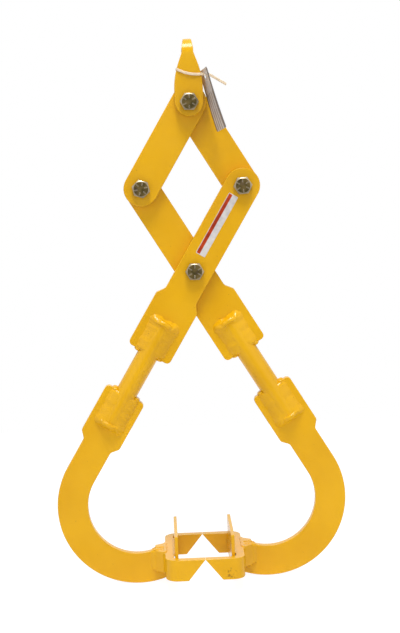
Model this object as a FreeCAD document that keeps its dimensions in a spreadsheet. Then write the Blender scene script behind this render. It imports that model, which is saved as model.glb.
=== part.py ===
import FreeCAD, Part
import math
import os

import Sketcher

# Self-closing lifting tongs. A bail carries a four-pivot scissor linkage of flat plates in two
# layers. Each lower arm is spliced to a C-hook with a welded round bar, and each hook ends in a
# U-shaped jaw. Millimetres and degrees. +Z is up, X runs across the opening and Y through the
# plates, with the front layer at negative Y. The origin is the inside of the bail's crown, where
# a crane hook carries the tongs.

Vector = FreeCAD.Vector
Placement = FreeCAD.Placement
Rotation = FreeCAD.Rotation

UPRIGHT = Vector(0, 0, 1)
HALF_TURN = Placement(Vector(), Rotation(UPRIGHT, 180))

doc = FreeCAD.newDocument("lifting_tongs")
sheet = doc.addObject("Spreadsheet::Sheet", "dims")

SIZES = (
    # Linkage plates and pivots, with the closed tongs' half angle at the pivots
    ("plate_thickness", 12.7),
    ("layer_gap", 0.4),
    ("link_width", 50.8),
    ("pivot_spacing", 143.0),
    ("half_angle", 31.1),
    # Pivot bolts and nuts
    ("bolt_diameter", 15.875),
    ("running_clearance", 0.08),
    ("head_across_flats", 23.8),
    ("head_height", 9.9),
    ("nut_height", 13.9),
    ("hex_chamfer", 1.2),
    ("thread_standout", 4.0),
    ("thread_chamfer", 1.5),
    # Bail
    ("bail_thickness", 9.5),
    ("bail_width", 40.8),
    ("bail_eye_height", 81.0),
    ("bail_shoulder", 18.0),
    ("bail_shoulder_radius", 110.0),
    ("bail_taper", 20.0),
    ("bail_neck_width", 16.6),
    ("bail_neck_length", 5.5),
    ("bail_crown_width", 11.6),
    # Arm plates, along the arm from the centre pivot
    ("flare_start", 42.0),
    ("flare_length", 12.0),
    ("tab_width", 68.3),
    ("tab_length", 85.5),
    ("shoulder_radius", 6.5),
    # Splice bars, let into slots in the tabs of the arm plate and the hook
    ("bar_diameter", 31.75),
    ("bar_chamfer", 1.0),
    ("upper_slot_depth", 47.5),
    ("lower_slot_depth", 49.5),
    ("slot_clearance", 0.2),
    # Hooks, further along the arm below the gap between the two tabs
    ("tab_gap", 68.1),
    ("lower_tab_width", 63.5),
    ("lower_tab_length", 77.9),
    ("lower_flare_length", 10.5),
    ("hook_width", 45.2),
    ("hook_strip_length", 50.3),
    ("hook_radius", 95.5),
    ("hook_foot_length", 13.35),
    # Jaws
    ("jaw_thickness", 12.7),
    ("jaw_height", 31.2),
    ("jaw_reach", 58.0),
    ("jaw_bend_radius", 6.35),
    ("jaw_tip_gap", 0.3),
    ("jaw_set_back", 24.7),
    ("stop_thickness", 4.76),
    ("stop_height", 62.0),
    ("stop_depth", 120.7),
    ("stop_end_gap", 3.15),
    ("stop_gap", 1.6),
    ("gusset_length", 15.0),
    ("front_gusset_end", 5.0),
    ("front_gusset_root", 18.0),
    ("rear_gusset_end", 14.0),
    ("rear_gusset_root", 24.0),
    # Weld beads
    ("bar_weld_radius", 5.0),
    ("stop_weld_radius", 4.0),
    # Decal on the front arm, measured from the centre pivot
    ("decal_length", 100.0),
    ("decal_width", 15.0),
    ("decal_thickness", 0.25),
    ("decal_centre", 74.7),
    ("decal_offset", 4.6),
    # Cable tie round the bail's front leg
    ("tie_width", 3.4),
    ("tie_thickness", 1.1),
    ("tie_height", 43.0),
    ("tie_tilt", 13.0),
    ("tie_clearance", 0.3),
    ("tie_head_length", 5.0),
    ("tie_head_depth", 2.6),
    ("tie_head_width", 4.6),
    ("tie_tail_length", 34.0),
    ("tie_tail_droop", 20.0),
    # Hang tag on the tie's tail
    ("tag_length", 90.0),
    ("tag_width", 44.0),
    ("tag_thickness", 0.8),
    ("tag_corner_radius", 3.0),
    ("tag_hole_diameter", 8.0),
    ("tag_hole_inset", 10.0),
    ("tag_lean", 14.5),
    ("tag_turn", 16.0),
    ("tag_tilt", 3.6),
    ("tag_along_tail", 3.0),
)
for row, (alias, number) in enumerate(SIZES, start=1):
    sheet.set(f"A{row}", alias)
    sheet.set(f"B{row}", str(number))
    sheet.setAlias(f"B{row}", alias)
doc.recompute()

# How far a cutting profile runs past the solid that it cuts
CUT_MARGIN = 5.0
# The crown's own profile ends just past the hairpin's top, so that its sides stay narrow there
CROWN_MARGIN = 0.5
# Points closer than this count as one
SAME_PLACE = 0.01

sub_parts = []


def value(expression):
    """The number that an expression on the sheet gives."""
    return float(sheet.evalExpression(str(expression)))


def keep(sub_part, label, placement):
    """Names a finished sub-part, puts it in its place and lists it for export."""
    sub_part.Label = label
    sub_part.Placement = placement
    sub_parts.append(sub_part)
    return sub_part


def new_body(name):
    return doc.addObject("PartDesign::Body", name)


def new_sketch(body, name, role):
    """A sketch on the body's own origin plane of that role."""
    sketch = body.newObject("Sketcher::SketchObject", name)
    plane = next(item for item in body.Origin.OriginFeatures if item.Role == role)
    sketch.AttachmentSupport = (plane, [""])
    sketch.MapMode = "FlatFace"
    return sketch


def hold(sketch, kind, geometry, point, expression):
    """Ties one coordinate of a sketch point, or a radius or diameter, to an expression."""
    axis = {"DistanceX": -2, "DistanceY": -1}.get(kind)
    if expression == "0":
        sketch.addConstraint(Sketcher.Constraint("PointOnObject", geometry, point, axis))
        return
    place = (geometry, point) if axis else (geometry,)
    index = sketch.addConstraint(Sketcher.Constraint(kind, *place, value(expression)))
    name = f"{kind}{index}"
    sketch.renameConstraint(index, name)
    sketch.setExpression(f"Constraints.{name}", expression)


def arc_between(start, end, radius, turn):
    """The short arc from start to end; turn is 1 for counter-clockwise and -1 for clockwise."""
    chord = end - start
    rise = math.sqrt(max(radius ** 2 - chord.Length ** 2 / 4, 0))
    left = Vector(-chord.y, chord.x, 0).normalize()
    centre = (start + end) / 2 + left * rise * turn
    first, last = (start, end) if turn > 0 else (end, start)
    angles = [math.atan2(point.y - centre.y, point.x - centre.x) for point in (first, last)]
    if angles[1] < angles[0]:
        angles[1] += 2 * math.pi
    return Part.ArcOfCircle(Part.Circle(centre, UPRIGHT, radius), *angles)


def trace(sketch, corners):
    """Closes an outline through its corners, with every size tied to the sheet.

    A corner is (x, y) where a straight side follows, or (x, y, radius, turn) where an arc does.
    """
    points = [Vector(value(corner[0]), value(corner[1]), 0) for corner in corners]
    following = points[1:] + points[:1]
    sides = []
    for corner, start, end in zip(corners, points, following):
        if len(corner) == 2:
            sides.append((sketch.addGeometry(Part.LineSegment(start, end), False), 1, 2))
        else:
            arc = arc_between(start, end, value(corner[2]), corner[3])
            ends = (1, 2) if corner[3] > 0 else (2, 1)
            sides.append((sketch.addGeometry(arc, False), *ends))
    for (side, _, end), (next_side, start, _) in zip(sides, sides[1:] + sides[:1]):
        sketch.addConstraint(Sketcher.Constraint("Coincident", side, end, next_side, start))
    for corner, (side, start, _) in zip(corners, sides):
        hold(sketch, "DistanceX", side, start, corner[0])
        hold(sketch, "DistanceY", side, start, corner[1])
        if len(corner) > 2:
            hold(sketch, "Radius", side, 0, corner[2])


def circle(sketch, x, y, diameter):
    """A circle in a sketch, with its centre and diameter tied to the sheet."""
    round_line = Part.Circle(Vector(value(x), value(y), 0), UPRIGHT, value(diameter) / 2)
    index = sketch.addGeometry(round_line, False)
    hold(sketch, "DistanceX", index, 3, x)
    hold(sketch, "DistanceY", index, 3, y)
    hold(sketch, "Diameter", index, 0, diameter)


def pad(body, sketch, length, side_type="One side", downwards=False):
    feature = body.newObject("PartDesign::Pad", "Pad")
    feature.Profile = sketch
    feature.SideType = side_type
    feature.Reversed = downwards
    feature.setExpression("Length", length)
    doc.recompute()
    return feature


def pocket(body, sketch):
    """Cuts a sketch right through the body, to both sides of the sketch."""
    before = body.Shape.Volume
    feature = body.newObject("PartDesign::Pocket", "Pocket")
    feature.Profile = sketch
    feature.Type = "ThroughAll"
    feature.SideType = "Symmetric"
    doc.recompute()
    if body.Shape.Volume >= before:
        raise RuntimeError(f"{sketch.Name} cuts nothing")
    return feature


def round_corners(body, corners, radius):
    """Fillets the edges through the plate at the given outline corners."""
    wanted = [(value(x), value(y)) for x, y in corners]
    base = body.Tip
    names = []
    for number, edge in enumerate(base.Shape.Edges, start=1):
        places = {(round(vertex.X, 3), round(vertex.Y, 3)) for vertex in edge.Vertexes}
        if len(places) == 1 and any(math.dist(place, spot) < SAME_PLACE for place in places for spot in wanted):
            names.append(f"Edge{number}")
    feature = body.newObject("PartDesign::Fillet", "Fillet")
    feature.Base = (base, names)
    feature.setExpression("Radius", radius)
    doc.recompute()


def chamfer_ends(body, size, at_height=None):
    """Chamfers the round end edges that are square to the body's axis."""
    base = body.Tip
    names = []
    for number, edge in enumerate(base.Shape.Edges, start=1):
        level = len({round(vertex.Z, 3) for vertex in edge.Vertexes}) == 1
        at_end = at_height is None or abs(edge.Vertexes[0].Z - value(at_height)) < SAME_PLACE
        if level and at_end and isinstance(edge.Curve, Part.Circle):
            names.append(f"Edge{number}")
    feature = body.newObject("PartDesign::Chamfer", "Chamfer")
    feature.Base = (base, names)
    feature.setExpression("Size", size)
    doc.recompute()


def group(label, pieces):
    """Several separate solids that share one node."""
    compound = doc.addObject("Part::Compound", label)
    compound.Links = pieces
    return keep(compound, label, Placement())


# Sizes that several pieces take from the sheet
HALF_LINK = "dims.link_width / 2"
PIVOT_HOLE = "dims.bolt_diameter + 2 * dims.running_clearance"
BAIL_GAP = "(2 * dims.plate_thickness + 3 * dims.layer_gap)"
BAR_SLOT = "(dims.bar_diameter / 2 + dims.slot_clearance)"
FLARE_END = "(dims.flare_start + dims.flare_length)"
TAB_END = f"({FLARE_END} + dims.tab_length)"
BAR_START = f"({TAB_END} - dims.upper_slot_depth)"
LOWER_TAB_START = f"({TAB_END} + dims.tab_gap)"
BAR_END = f"({LOWER_TAB_START} + dims.lower_slot_depth)"
LOWER_TAB_END = f"({LOWER_TAB_START} + dims.lower_tab_length)"
LOWER_FLARE_END = f"({LOWER_TAB_END} + dims.lower_flare_length)"
HOOK_START = f"({LOWER_FLARE_END} + dims.hook_strip_length)"
OUTER_RADIUS = "(dims.hook_radius + dims.hook_width / 2)"
INNER_RADIUS = "(dims.hook_radius - dims.hook_width / 2)"
HOOK_ACROSS = f"({HOOK_START} * sin(dims.half_angle) - dims.hook_radius * cos(dims.half_angle))"
HOOK_DROP = f"({HOOK_START} * cos(dims.half_angle) + dims.hook_radius * sin(dims.half_angle))"
FOOT_ACROSS = "(dims.jaw_reach + dims.hook_foot_length)"
JAW_DROP = f"({HOOK_DROP} + sqrt({INNER_RADIUS} ^ 2 - ({HOOK_ACROSS} - {FOOT_ACROSS}) ^ 2))"
JAW_DEPTH = "(dims.stop_depth + 2 * (dims.stop_end_gap + dims.jaw_thickness))"

# Places of the pivots and of the two plate layers
LAYER_FRONT = -value("dims.layer_gap / 2 + dims.plate_thickness")
TOP_PIVOT = Vector(0, 0, -value("dims.bail_eye_height"))
CENTRE_PIVOT = TOP_PIVOT - UPRIGHT * value("2 * dims.pivot_spacing * cos(dims.half_angle)")
SIDE_PIVOT = (
    TOP_PIVOT
    - UPRIGHT * value("dims.pivot_spacing * cos(dims.half_angle)")
    + Vector(value("dims.pivot_spacing * sin(dims.half_angle)"), 0, 0)
)
JAW_BOTTOM = CENTRE_PIVOT - UPRIGHT * value(f"{JAW_DROP} + dims.jaw_height")


def front_layer(pivot):
    """The frame of a front-layer plate: x down its leaning axis, y outwards, z to the rear."""
    lean = value("dims.half_angle")
    down_axis = Vector(-value(f"sin({lean})"), 0, -value(f"cos({lean})"))
    rearwards = Vector(0, 1, 0)
    outwards = rearwards.cross(down_axis)
    turn = Rotation(down_axis, outwards, rearwards, "XYZ")
    return Placement(pivot + Vector(0, LAYER_FRONT, 0), turn)


LINK_FRAME = front_layer(TOP_PIVOT)
ARM_FRAME = front_layer(CENTRE_PIVOT)


# Bail: a flat bar bent to a hairpin, then cut to a tapered outline with a round pivot end
def make_bail():
    body = new_body("bail_body")
    outer = f"({BAIL_GAP} / 2 + dims.bail_thickness)"
    bend_height = f"dims.bail_eye_height - {BAIL_GAP} / 2"
    foot = "-dims.bail_width"
    hairpin = new_sketch(body, "hairpin", "YZ_Plane")
    trace(hairpin, [
        (outer, foot),
        (outer, bend_height, outer, 1),
        ("0", "dims.bail_eye_height + dims.bail_thickness", outer, 1),
        (f"-{outer}", bend_height),
        (f"-{outer}", foot),
        (f"-{BAIL_GAP} / 2", foot),
        (f"-{BAIL_GAP} / 2", bend_height, f"{BAIL_GAP} / 2", -1),
        ("0", "dims.bail_eye_height", f"{BAIL_GAP} / 2", -1),
        (f"{BAIL_GAP} / 2", bend_height),
        (f"{BAIL_GAP} / 2", foot),
    ])
    pad(body, hairpin, f"dims.bail_width + 2 * {CUT_MARGIN}", "Symmetric")
    half = "dims.bail_width / 2"
    taper_x = f"({half} - dims.bail_shoulder_radius * (1 - cos(dims.bail_taper)))"
    taper_z = "(dims.bail_shoulder + dims.bail_shoulder_radius * sin(dims.bail_taper))"
    neck_z = f"({taper_z} + ({taper_x} - dims.bail_neck_width / 2) / tan(dims.bail_taper))"
    crown_z = "(dims.bail_eye_height + dims.bail_thickness)"
    right_side = [
        (half, "0"),
        (half, "dims.bail_shoulder", "dims.bail_shoulder_radius", 1),
        (taper_x, taper_z),
        ("dims.bail_neck_width / 2", neck_z),
        ("dims.bail_neck_width / 2", f"{neck_z} + dims.bail_neck_length"),
        ("dims.bail_crown_width / 2", f"{crown_z} + {CROWN_MARGIN}"),
    ]
    left_side = [
        ("-dims.bail_crown_width / 2", f"{crown_z} + {CROWN_MARGIN}"),
        ("-dims.bail_neck_width / 2", f"{neck_z} + dims.bail_neck_length"),
        ("-dims.bail_neck_width / 2", neck_z),
        (f"-{taper_x}", taper_z, "dims.bail_shoulder_radius", 1),
        (f"-{half}", "dims.bail_shoulder"),
        (f"-{half}", "0", half, 1),
        ("0", f"-{half}", half, 1),
    ]
    outline = new_sketch(body, "outline", "XZ_Plane")
    trace(outline, right_side + left_side)
    far = f"(dims.bail_width + {2 * CUT_MARGIN})"
    top = f"({crown_z} + {2 * CUT_MARGIN})"
    trace(outline, [(f"-{far}", f"-{far}"), (far, f"-{far}"), (far, top), (f"-{far}", top)])
    pocket(body, outline)
    hole = new_sketch(body, "pivot_hole", "XZ_Plane")
    circle(hole, "0", "0", PIVOT_HOLE)
    pocket(body, hole)
    keep(body, "bail", Placement(TOP_PIVOT, Rotation()))


# Links: flat bars with round ends and a pivot hole at each end
def make_link(label, placement):
    body = new_body(f"{label}_body")
    sketch = new_sketch(body, "outline", "XY_Plane")
    far_end = "dims.pivot_spacing"
    trace(sketch, [
        ("0", f"-{HALF_LINK}"),
        (far_end, f"-{HALF_LINK}", HALF_LINK, 1),
        (f"{far_end} + {HALF_LINK}", "0", HALF_LINK, 1),
        (far_end, HALF_LINK),
        ("0", HALF_LINK, HALF_LINK, 1),
        (f"-{HALF_LINK}", "0", HALF_LINK, 1),
    ])
    circle(sketch, "0", "0", PIVOT_HOLE)
    circle(sketch, far_end, "0", PIVOT_HOLE)
    pad(body, sketch, "dims.plate_thickness")
    keep(body, label, placement)


# Arm plates: a link-wide arm that flares to a slotted tab for the splice bar
def make_arm_plate(label, placement):
    body = new_body(f"{label}_body")
    sketch = new_sketch(body, "outline", "XY_Plane")
    upper = "-dims.pivot_spacing"
    half_tab = "dims.tab_width / 2"
    slot_end = f"{BAR_START} - dims.slot_clearance"
    trace(sketch, [
        (upper, f"-{HALF_LINK}"),
        ("dims.flare_start", f"-{HALF_LINK}"),
        (FLARE_END, f"-{half_tab}"),
        (TAB_END, f"-{half_tab}"),
        (TAB_END, f"-{BAR_SLOT}"),
        (slot_end, f"-{BAR_SLOT}"),
        (slot_end, BAR_SLOT),
        (TAB_END, BAR_SLOT),
        (TAB_END, half_tab),
        (FLARE_END, half_tab),
        ("dims.flare_start", HALF_LINK),
        (upper, HALF_LINK, HALF_LINK, 1),
        (f"{upper} - {HALF_LINK}", "0", HALF_LINK, 1),
    ])
    circle(sketch, "0", "0", PIVOT_HOLE)
    circle(sketch, upper, "0", PIVOT_HOLE)
    pad(body, sketch, "dims.plate_thickness")
    shoulders = []
    for side in ("", "-"):
        shoulders.append(("dims.flare_start", side + HALF_LINK))
        shoulders.append((FLARE_END, side + half_tab))
        shoulders.append((TAB_END, side + half_tab))
    round_corners(body, shoulders, "dims.shoulder_radius")
    return keep(body, label, placement)


# Hooks: a slotted tab, a straight strip and a C-shaped bend that meets the jaw's web
def make_hook(label, placement):
    body = new_body(f"{label}_body")
    sketch = new_sketch(body, "outline", "XY_Plane")
    half_tab = "dims.lower_tab_width / 2"
    half_strip = "dims.hook_width / 2"
    slot_end = f"{BAR_END} + dims.slot_clearance"

    def in_arm_frame(across, drop):
        """A point given across and down from the centre pivot, in the leaning frame."""
        along = f"sin(dims.half_angle) * ({across}) + cos(dims.half_angle) * ({drop})"
        outwards = f"cos(dims.half_angle) * ({across}) - sin(dims.half_angle) * ({drop})"
        return along, outwards

    web_offset = f"({HOOK_ACROSS} - dims.jaw_reach)"
    outer_drop = f"{HOOK_DROP} + sqrt({OUTER_RADIUS} ^ 2 - {web_offset} ^ 2)"
    outer_end = in_arm_frame("dims.jaw_reach", outer_drop)
    web_top = in_arm_frame("dims.jaw_reach", JAW_DROP)
    foot_start = in_arm_frame(FOOT_ACROSS, JAW_DROP)
    trace(sketch, [
        (LOWER_TAB_START, BAR_SLOT),
        (LOWER_TAB_START, half_tab),
        (LOWER_TAB_END, half_tab),
        (LOWER_FLARE_END, half_strip),
        (HOOK_START, half_strip, OUTER_RADIUS, -1),
        outer_end,
        web_top,
        (*foot_start, INNER_RADIUS, 1),
        (HOOK_START, f"-{half_strip}"),
        (LOWER_FLARE_END, f"-{half_strip}"),
        (LOWER_TAB_END, f"-{half_tab}"),
        (LOWER_TAB_START, f"-{half_tab}"),
        (LOWER_TAB_START, f"-{BAR_SLOT}"),
        (slot_end, f"-{BAR_SLOT}"),
        (slot_end, BAR_SLOT),
    ])
    pad(body, sketch, "dims.plate_thickness")
    shoulders = []
    for side in ("", "-"):
        shoulders.append((LOWER_TAB_START, side + half_tab))
        shoulders.append((LOWER_TAB_END, side + half_tab))
        shoulders.append((LOWER_FLARE_END, side + half_strip))
    round_corners(body, shoulders, "dims.shoulder_radius")
    return keep(body, label, placement)


# Splice bars: round bar in the slots, standing proud of both plate faces
def make_bar(label, arm_frame):
    body = new_body(f"{label}_body")
    sketch = new_sketch(body, "section", "XY_Plane")
    circle(sketch, "0", "0", "dims.bar_diameter")
    pad(body, sketch, f"{BAR_END} - {BAR_START}")
    chamfer_ends(body, "dims.bar_chamfer")
    start = Vector(value(BAR_START), 0, value("dims.plate_thickness / 2"))
    along_arm = Placement(start, Rotation(Vector(0, 1, 0), 90))
    return keep(body, label, arm_frame.multiply(along_arm))


def bead(name, placement, radius, length, neighbours):
    """A weld bead: a rod along a seam, less the pieces that it joins."""
    rod = doc.addObject("Part::Cylinder", f"{name}_rod")
    rod.setExpression("Radius", radius)
    rod.setExpression("Height", length)
    rod.Placement = placement
    joined = doc.addObject("Part::Compound", f"{name}_joined")
    joined.Links = neighbours
    cut = doc.addObject("Part::Cut", name)
    cut.Base = rod
    cut.Tool = joined
    doc.recompute()
    return cut


# Splice welds: beads along both sides of the bar on both plate faces, and across its ends
def make_bar_welds(label, arm_frame, plate, hook, bar):
    radius = "dims.bar_weld_radius"
    along_arm = Rotation(Vector(0, 1, 0), 90)
    across_arm = Rotation(Vector(1, 0, 0), -90)
    inset = value(f"{BAR_SLOT} - {radius}")
    seams = (
        (plate, BAR_START, "dims.upper_slot_depth", BAR_START),
        (hook, LOWER_TAB_START, "dims.lower_slot_depth", BAR_END),
    )
    beads = []
    for piece, seam_start, seam_length, bar_end in seams:
        for face in (0, value("dims.plate_thickness")):
            for side in (-1, 1):
                start = Vector(value(seam_start), side * value(BAR_SLOT), face)
                place = arm_frame.multiply(Placement(start, along_arm))
                name = f"{label}_bead{len(beads)}"
                beads.append(bead(name, place, radius, seam_length, [piece, bar]))
            start = Vector(value(bar_end), -inset, face)
            place = arm_frame.multiply(Placement(start, across_arm))
            name = f"{label}_bead{len(beads)}"
            beads.append(bead(name, place, radius, f"2 * ({BAR_SLOT} - {radius})", [piece, bar]))
    group(label, beads)


# Jaws: plate bent to a U, open towards the opposite jaw, with leg ends cut back to a V
def make_jaw(label, placement):
    body = new_body(f"{label}_body")
    plan = new_sketch(body, "plan", "XY_Plane")
    thickness = "dims.jaw_thickness"
    bend = f"(dims.jaw_bend_radius + {thickness})"
    half = f"{JAW_DEPTH} / 2"
    tip = "-dims.jaw_tip_gap"
    web = "-dims.jaw_reach"
    trace(plan, [
        (tip, half),
        (f"{web} + {bend}", half, bend, 1),
        (web, f"{half} - {bend}"),
        (web, f"{bend} - {half}", bend, 1),
        (f"{web} + {bend}", f"-{half}"),
        (tip, f"-{half}"),
        (tip, f"{thickness} - {half}"),
        (f"{web} + {bend}", f"{thickness} - {half}", "dims.jaw_bend_radius", -1),
        (f"{web} + {thickness}", f"{bend} - {half}"),
        (f"{web} + {thickness}", f"{half} - {bend}", "dims.jaw_bend_radius", -1),
        (f"{web} + {bend}", f"{half} - {thickness}"),
        (tip, f"{half} - {thickness}"),
    ])
    pad(body, plan, "dims.jaw_height")
    bevel = new_sketch(body, "bevel", "XZ_Plane")
    lean = f"dims.jaw_set_back * {CUT_MARGIN} / dims.jaw_height"
    trace(bevel, [
        (f"{tip} - dims.jaw_set_back - {lean}", f"-{CUT_MARGIN}"),
        (f"{CUT_MARGIN}", f"-{CUT_MARGIN}"),
        (f"{CUT_MARGIN}", f"dims.jaw_height + {CUT_MARGIN}"),
        (f"{tip} + {lean}", f"dims.jaw_height + {CUT_MARGIN}"),
    ])
    pocket(body, bevel)
    return keep(body, label, placement)


# Stop plates: thin upright plates that stand inside the jaws just off the web
def make_stop_plate(label, placement):
    plate = doc.addObject("Part::Box", f"{label}_box")
    plate.setExpression("Length", "dims.stop_thickness")
    plate.setExpression("Width", "dims.stop_depth")
    plate.setExpression("Height", "dims.stop_height")
    corner = Vector(
        value("-dims.jaw_reach + dims.jaw_thickness + dims.stop_gap"),
        value("-dims.stop_depth / 2"),
        0,
    )
    doc.recompute()
    return keep(plate, label, placement.multiply(Placement(corner, Rotation())))


# Jaw gussets: blocks in the corners between the hook's faces and the jaw's web
def make_gussets(label, side, hook_front):
    hook_rear = hook_front + value("dims.plate_thickness")
    blocks = []
    for name, face, outwards in (("front", hook_front, -1), ("rear", hook_rear, 1)):
        body = new_body(f"{label}_{name}")
        sketch = new_sketch(body, "plan", "XY_Plane")
        root = f"{outwards} * dims.{name}_gusset_root"
        end = f"{outwards} * dims.{name}_gusset_end"
        web = f"{side} * dims.jaw_reach"
        far = f"{side} * (dims.jaw_reach + dims.gusset_length)"
        trace(sketch, [(web, "0"), (far, "0"), (far, end), (web, root)])
        pad(body, sketch, "dims.jaw_height")
        body.Placement = Placement(JAW_BOTTOM + Vector(0, face, 0), Rotation())
        blocks.append(body)
    group(label, blocks)


# Stop plate welds: one upright bead at each end of the plate, against the jaw's leg
def make_stop_welds(label, placement, jaw, stop_plate):
    inner_face = "-dims.jaw_reach + dims.jaw_thickness + dims.stop_gap + dims.stop_thickness"
    seam_across = value(f"{inner_face} - dims.stop_weld_radius")
    leg_face = value(f"{JAW_DEPTH} / 2 - dims.jaw_thickness")
    plate_end = value("dims.stop_depth / 2")
    beads = []
    for side in (-1, 1):
        seam = Vector(seam_across, side * (leg_face + plate_end) / 2, 0)
        place = placement.multiply(Placement(seam, Rotation()))
        name = f"{label}_bead{len(beads)}"
        neighbours = [jaw, stop_plate]
        beads.append(bead(name, place, "dims.stop_weld_radius", "dims.jaw_height", neighbours))
    group(label, beads)


def hexagon(sketch):
    """The hexagon of a bolt head or nut, with a corner on the x axis."""
    corner_radius = "dims.head_across_flats / sqrt(3)"
    trace(sketch, [
        (corner_radius, "0"),
        (f"{corner_radius} / 2", "dims.head_across_flats / 2"),
        (f"-{corner_radius} / 2", "dims.head_across_flats / 2"),
        (f"-{corner_radius}", "0"),
        (f"-{corner_radius} / 2", "-dims.head_across_flats / 2"),
        (f"{corner_radius} / 2", "-dims.head_across_flats / 2"),
    ])


def turn_off_corners(body, level, direction):
    """Turns the hexagon's corners off at one end face, as on a lathe."""
    before = body.Shape.Volume
    corner_radius = "dims.head_across_flats / sqrt(3)"
    profile = new_sketch(body, "corner_cut", "XZ_Plane")
    beyond = f"{level} + {direction * CUT_MARGIN}"
    rim = f"{corner_radius} + {CUT_MARGIN}"
    slope = f"dims.hex_chamfer / ({corner_radius} - dims.head_across_flats / 2)"
    lower = f"{level} - {direction} * ({slope}) * ({rim} - dims.head_across_flats / 2)"
    corners = [("dims.head_across_flats / 2", level), (rim, lower), (rim, beyond),
               ("dims.head_across_flats / 2", beyond)]
    trace(profile, corners)
    groove = body.newObject("PartDesign::Groove", "Groove")
    groove.Profile = profile
    groove.ReferenceAxis = (profile, ["V_Axis"])
    groove.Angle = 360
    doc.recompute()
    if body.Shape.Volume >= before:
        raise RuntimeError(f"{body.Name} keeps its corners")


# Pivot bolts: hex head in front, plain shank, chamfered thread end behind the nut
def make_bolt(label, pivot, bearing, grip, turn):
    body = new_body(f"{label}_body")
    head = new_sketch(body, "head", "XY_Plane")
    hexagon(head)
    pad(body, head, "dims.head_height", downwards=True)
    turn_off_corners(body, "-dims.head_height", -1)
    shank = new_sketch(body, "shank", "XY_Plane")
    circle(shank, "0", "0", "dims.bolt_diameter")
    length = f"{grip} + dims.nut_height + dims.thread_standout"
    pad(body, shank, length)
    chamfer_ends(body, "dims.thread_chamfer", length)
    keep(body, label, through_plates(pivot, bearing, turn))


# Pivot nuts: hex nuts behind the plates, with both end faces turned off
def make_nut(label, pivot, bearing, turn):
    body = new_body(f"{label}_body")
    sketch = new_sketch(body, "hex", "XY_Plane")
    hexagon(sketch)
    circle(sketch, "0", "0", PIVOT_HOLE)
    pad(body, sketch, "dims.nut_height")
    turn_off_corners(body, "dims.nut_height", 1)
    keep(body, label, through_plates(pivot, bearing, turn))


def through_plates(pivot, bearing, turn):
    """The frame of a bolt or nut: z to the rear along the pivot, turned about it."""
    rearwards = Rotation(Vector(1, 0, 0), -90)
    return Placement(pivot + Vector(0, bearing, 0), rearwards.multiply(Rotation(UPRIGHT, turn)))


# Decal: a thin blank strip on the front arm, between its upper pivot and the centre pivot
def make_decal():
    strip = doc.addObject("Part::Box", "decal_box")
    strip.setExpression("Length", "dims.decal_length")
    strip.setExpression("Width", "dims.decal_width")
    strip.setExpression("Height", "dims.decal_thickness")
    corner = Vector(
        value("-dims.decal_centre - dims.decal_length / 2"),
        value("dims.decal_offset - dims.decal_width / 2"),
        value("-dims.decal_thickness"),
    )
    doc.recompute()
    keep(strip, "decal", ARM_FRAME.multiply(Placement(corner, Rotation())))


# Cable tie: a strap round the bail's front leg, with its head at the right and a free tail
def make_cable_tie():
    body = new_body("cable_tie_body")
    strap = "dims.tie_thickness"
    low_edge = "(dims.tie_height - dims.bail_width / 2 * tan(dims.tie_tilt) - dims.tie_head_width / 2)"
    past_shoulder = f"({low_edge} - dims.bail_shoulder)"
    drawn_in = f"(dims.bail_shoulder_radius - sqrt(dims.bail_shoulder_radius ^ 2 - {past_shoulder} ^ 2))"
    slope_room = "dims.tie_head_width / 2 * tan(dims.tie_tilt)"
    leg_half = f"((dims.bail_width / 2 - {drawn_in}) / cos(dims.tie_tilt) + {slope_room})"
    inner_x = f"({leg_half} + dims.tie_clearance)"
    inner_y = "(dims.bail_thickness / 2 + dims.tie_clearance)"
    outer_x = f"({inner_x} + {strap})"
    outer_y = f"({inner_y} + {strap})"
    loop = new_sketch(body, "loop", "XY_Plane")
    trace(loop, [
        (inner_x, outer_y, strap, -1),
        (outer_x, inner_y),
        (outer_x, f"-{inner_y}", strap, -1),
        (inner_x, f"-{outer_y}"),
        (f"-{inner_x}", f"-{outer_y}", strap, -1),
        (f"-{outer_x}", f"-{inner_y}"),
        (f"-{outer_x}", inner_y, strap, -1),
        (f"-{inner_x}", outer_y),
    ])
    trace(loop, [
        (inner_x, inner_y),
        (f"-{inner_x}", inner_y),
        (f"-{inner_x}", f"-{inner_y}"),
        (inner_x, f"-{inner_y}"),
    ])
    pad(body, loop, "dims.tie_width", "Symmetric")
    head = new_sketch(body, "head", "XY_Plane")
    head_end = f"({outer_x} + dims.tie_head_depth)"
    head_front = f"(-{outer_y})"
    trace(head, [
        (inner_x, head_front),
        (head_end, head_front),
        (head_end, f"{head_front} + dims.tie_head_length"),
        (inner_x, f"{head_front} + dims.tie_head_length"),
    ])
    pad(body, head, "dims.tie_head_width", "Symmetric")
    tail = new_sketch(body, "tail", "XZ_Plane")
    half_width = "dims.tie_width / 2"
    droop = "dims.tie_tail_length * sin(dims.tie_tail_droop)"
    tail_end = f"{head_end} + dims.tie_tail_length * cos(dims.tie_tail_droop)"
    trace(tail, [
        (f"{head_end} - {strap}", half_width),
        (f"{head_end} - {strap}", f"-{half_width}"),
        (tail_end, f"-{half_width} - {droop}"),
        (tail_end, f"{half_width} - {droop}"),
    ])
    tail.AttachmentOffset = Placement(Vector(0, 0, value(f"{outer_y} - {strap}")), Rotation())
    pad(body, tail, strap)
    leg_middle = -value(f"{BAIL_GAP} / 2 + dims.bail_thickness / 2")
    seat = TOP_PIVOT + Vector(0, leg_middle, value("dims.tie_height"))
    tilt = Rotation(Vector(0, 1, 0), value("dims.tie_tilt"))
    keep(body, "cable_tie", Placement(seat, tilt))
    return Placement(seat, tilt), value(head_end), -value(f"{outer_y} - {strap} / 2")


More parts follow.
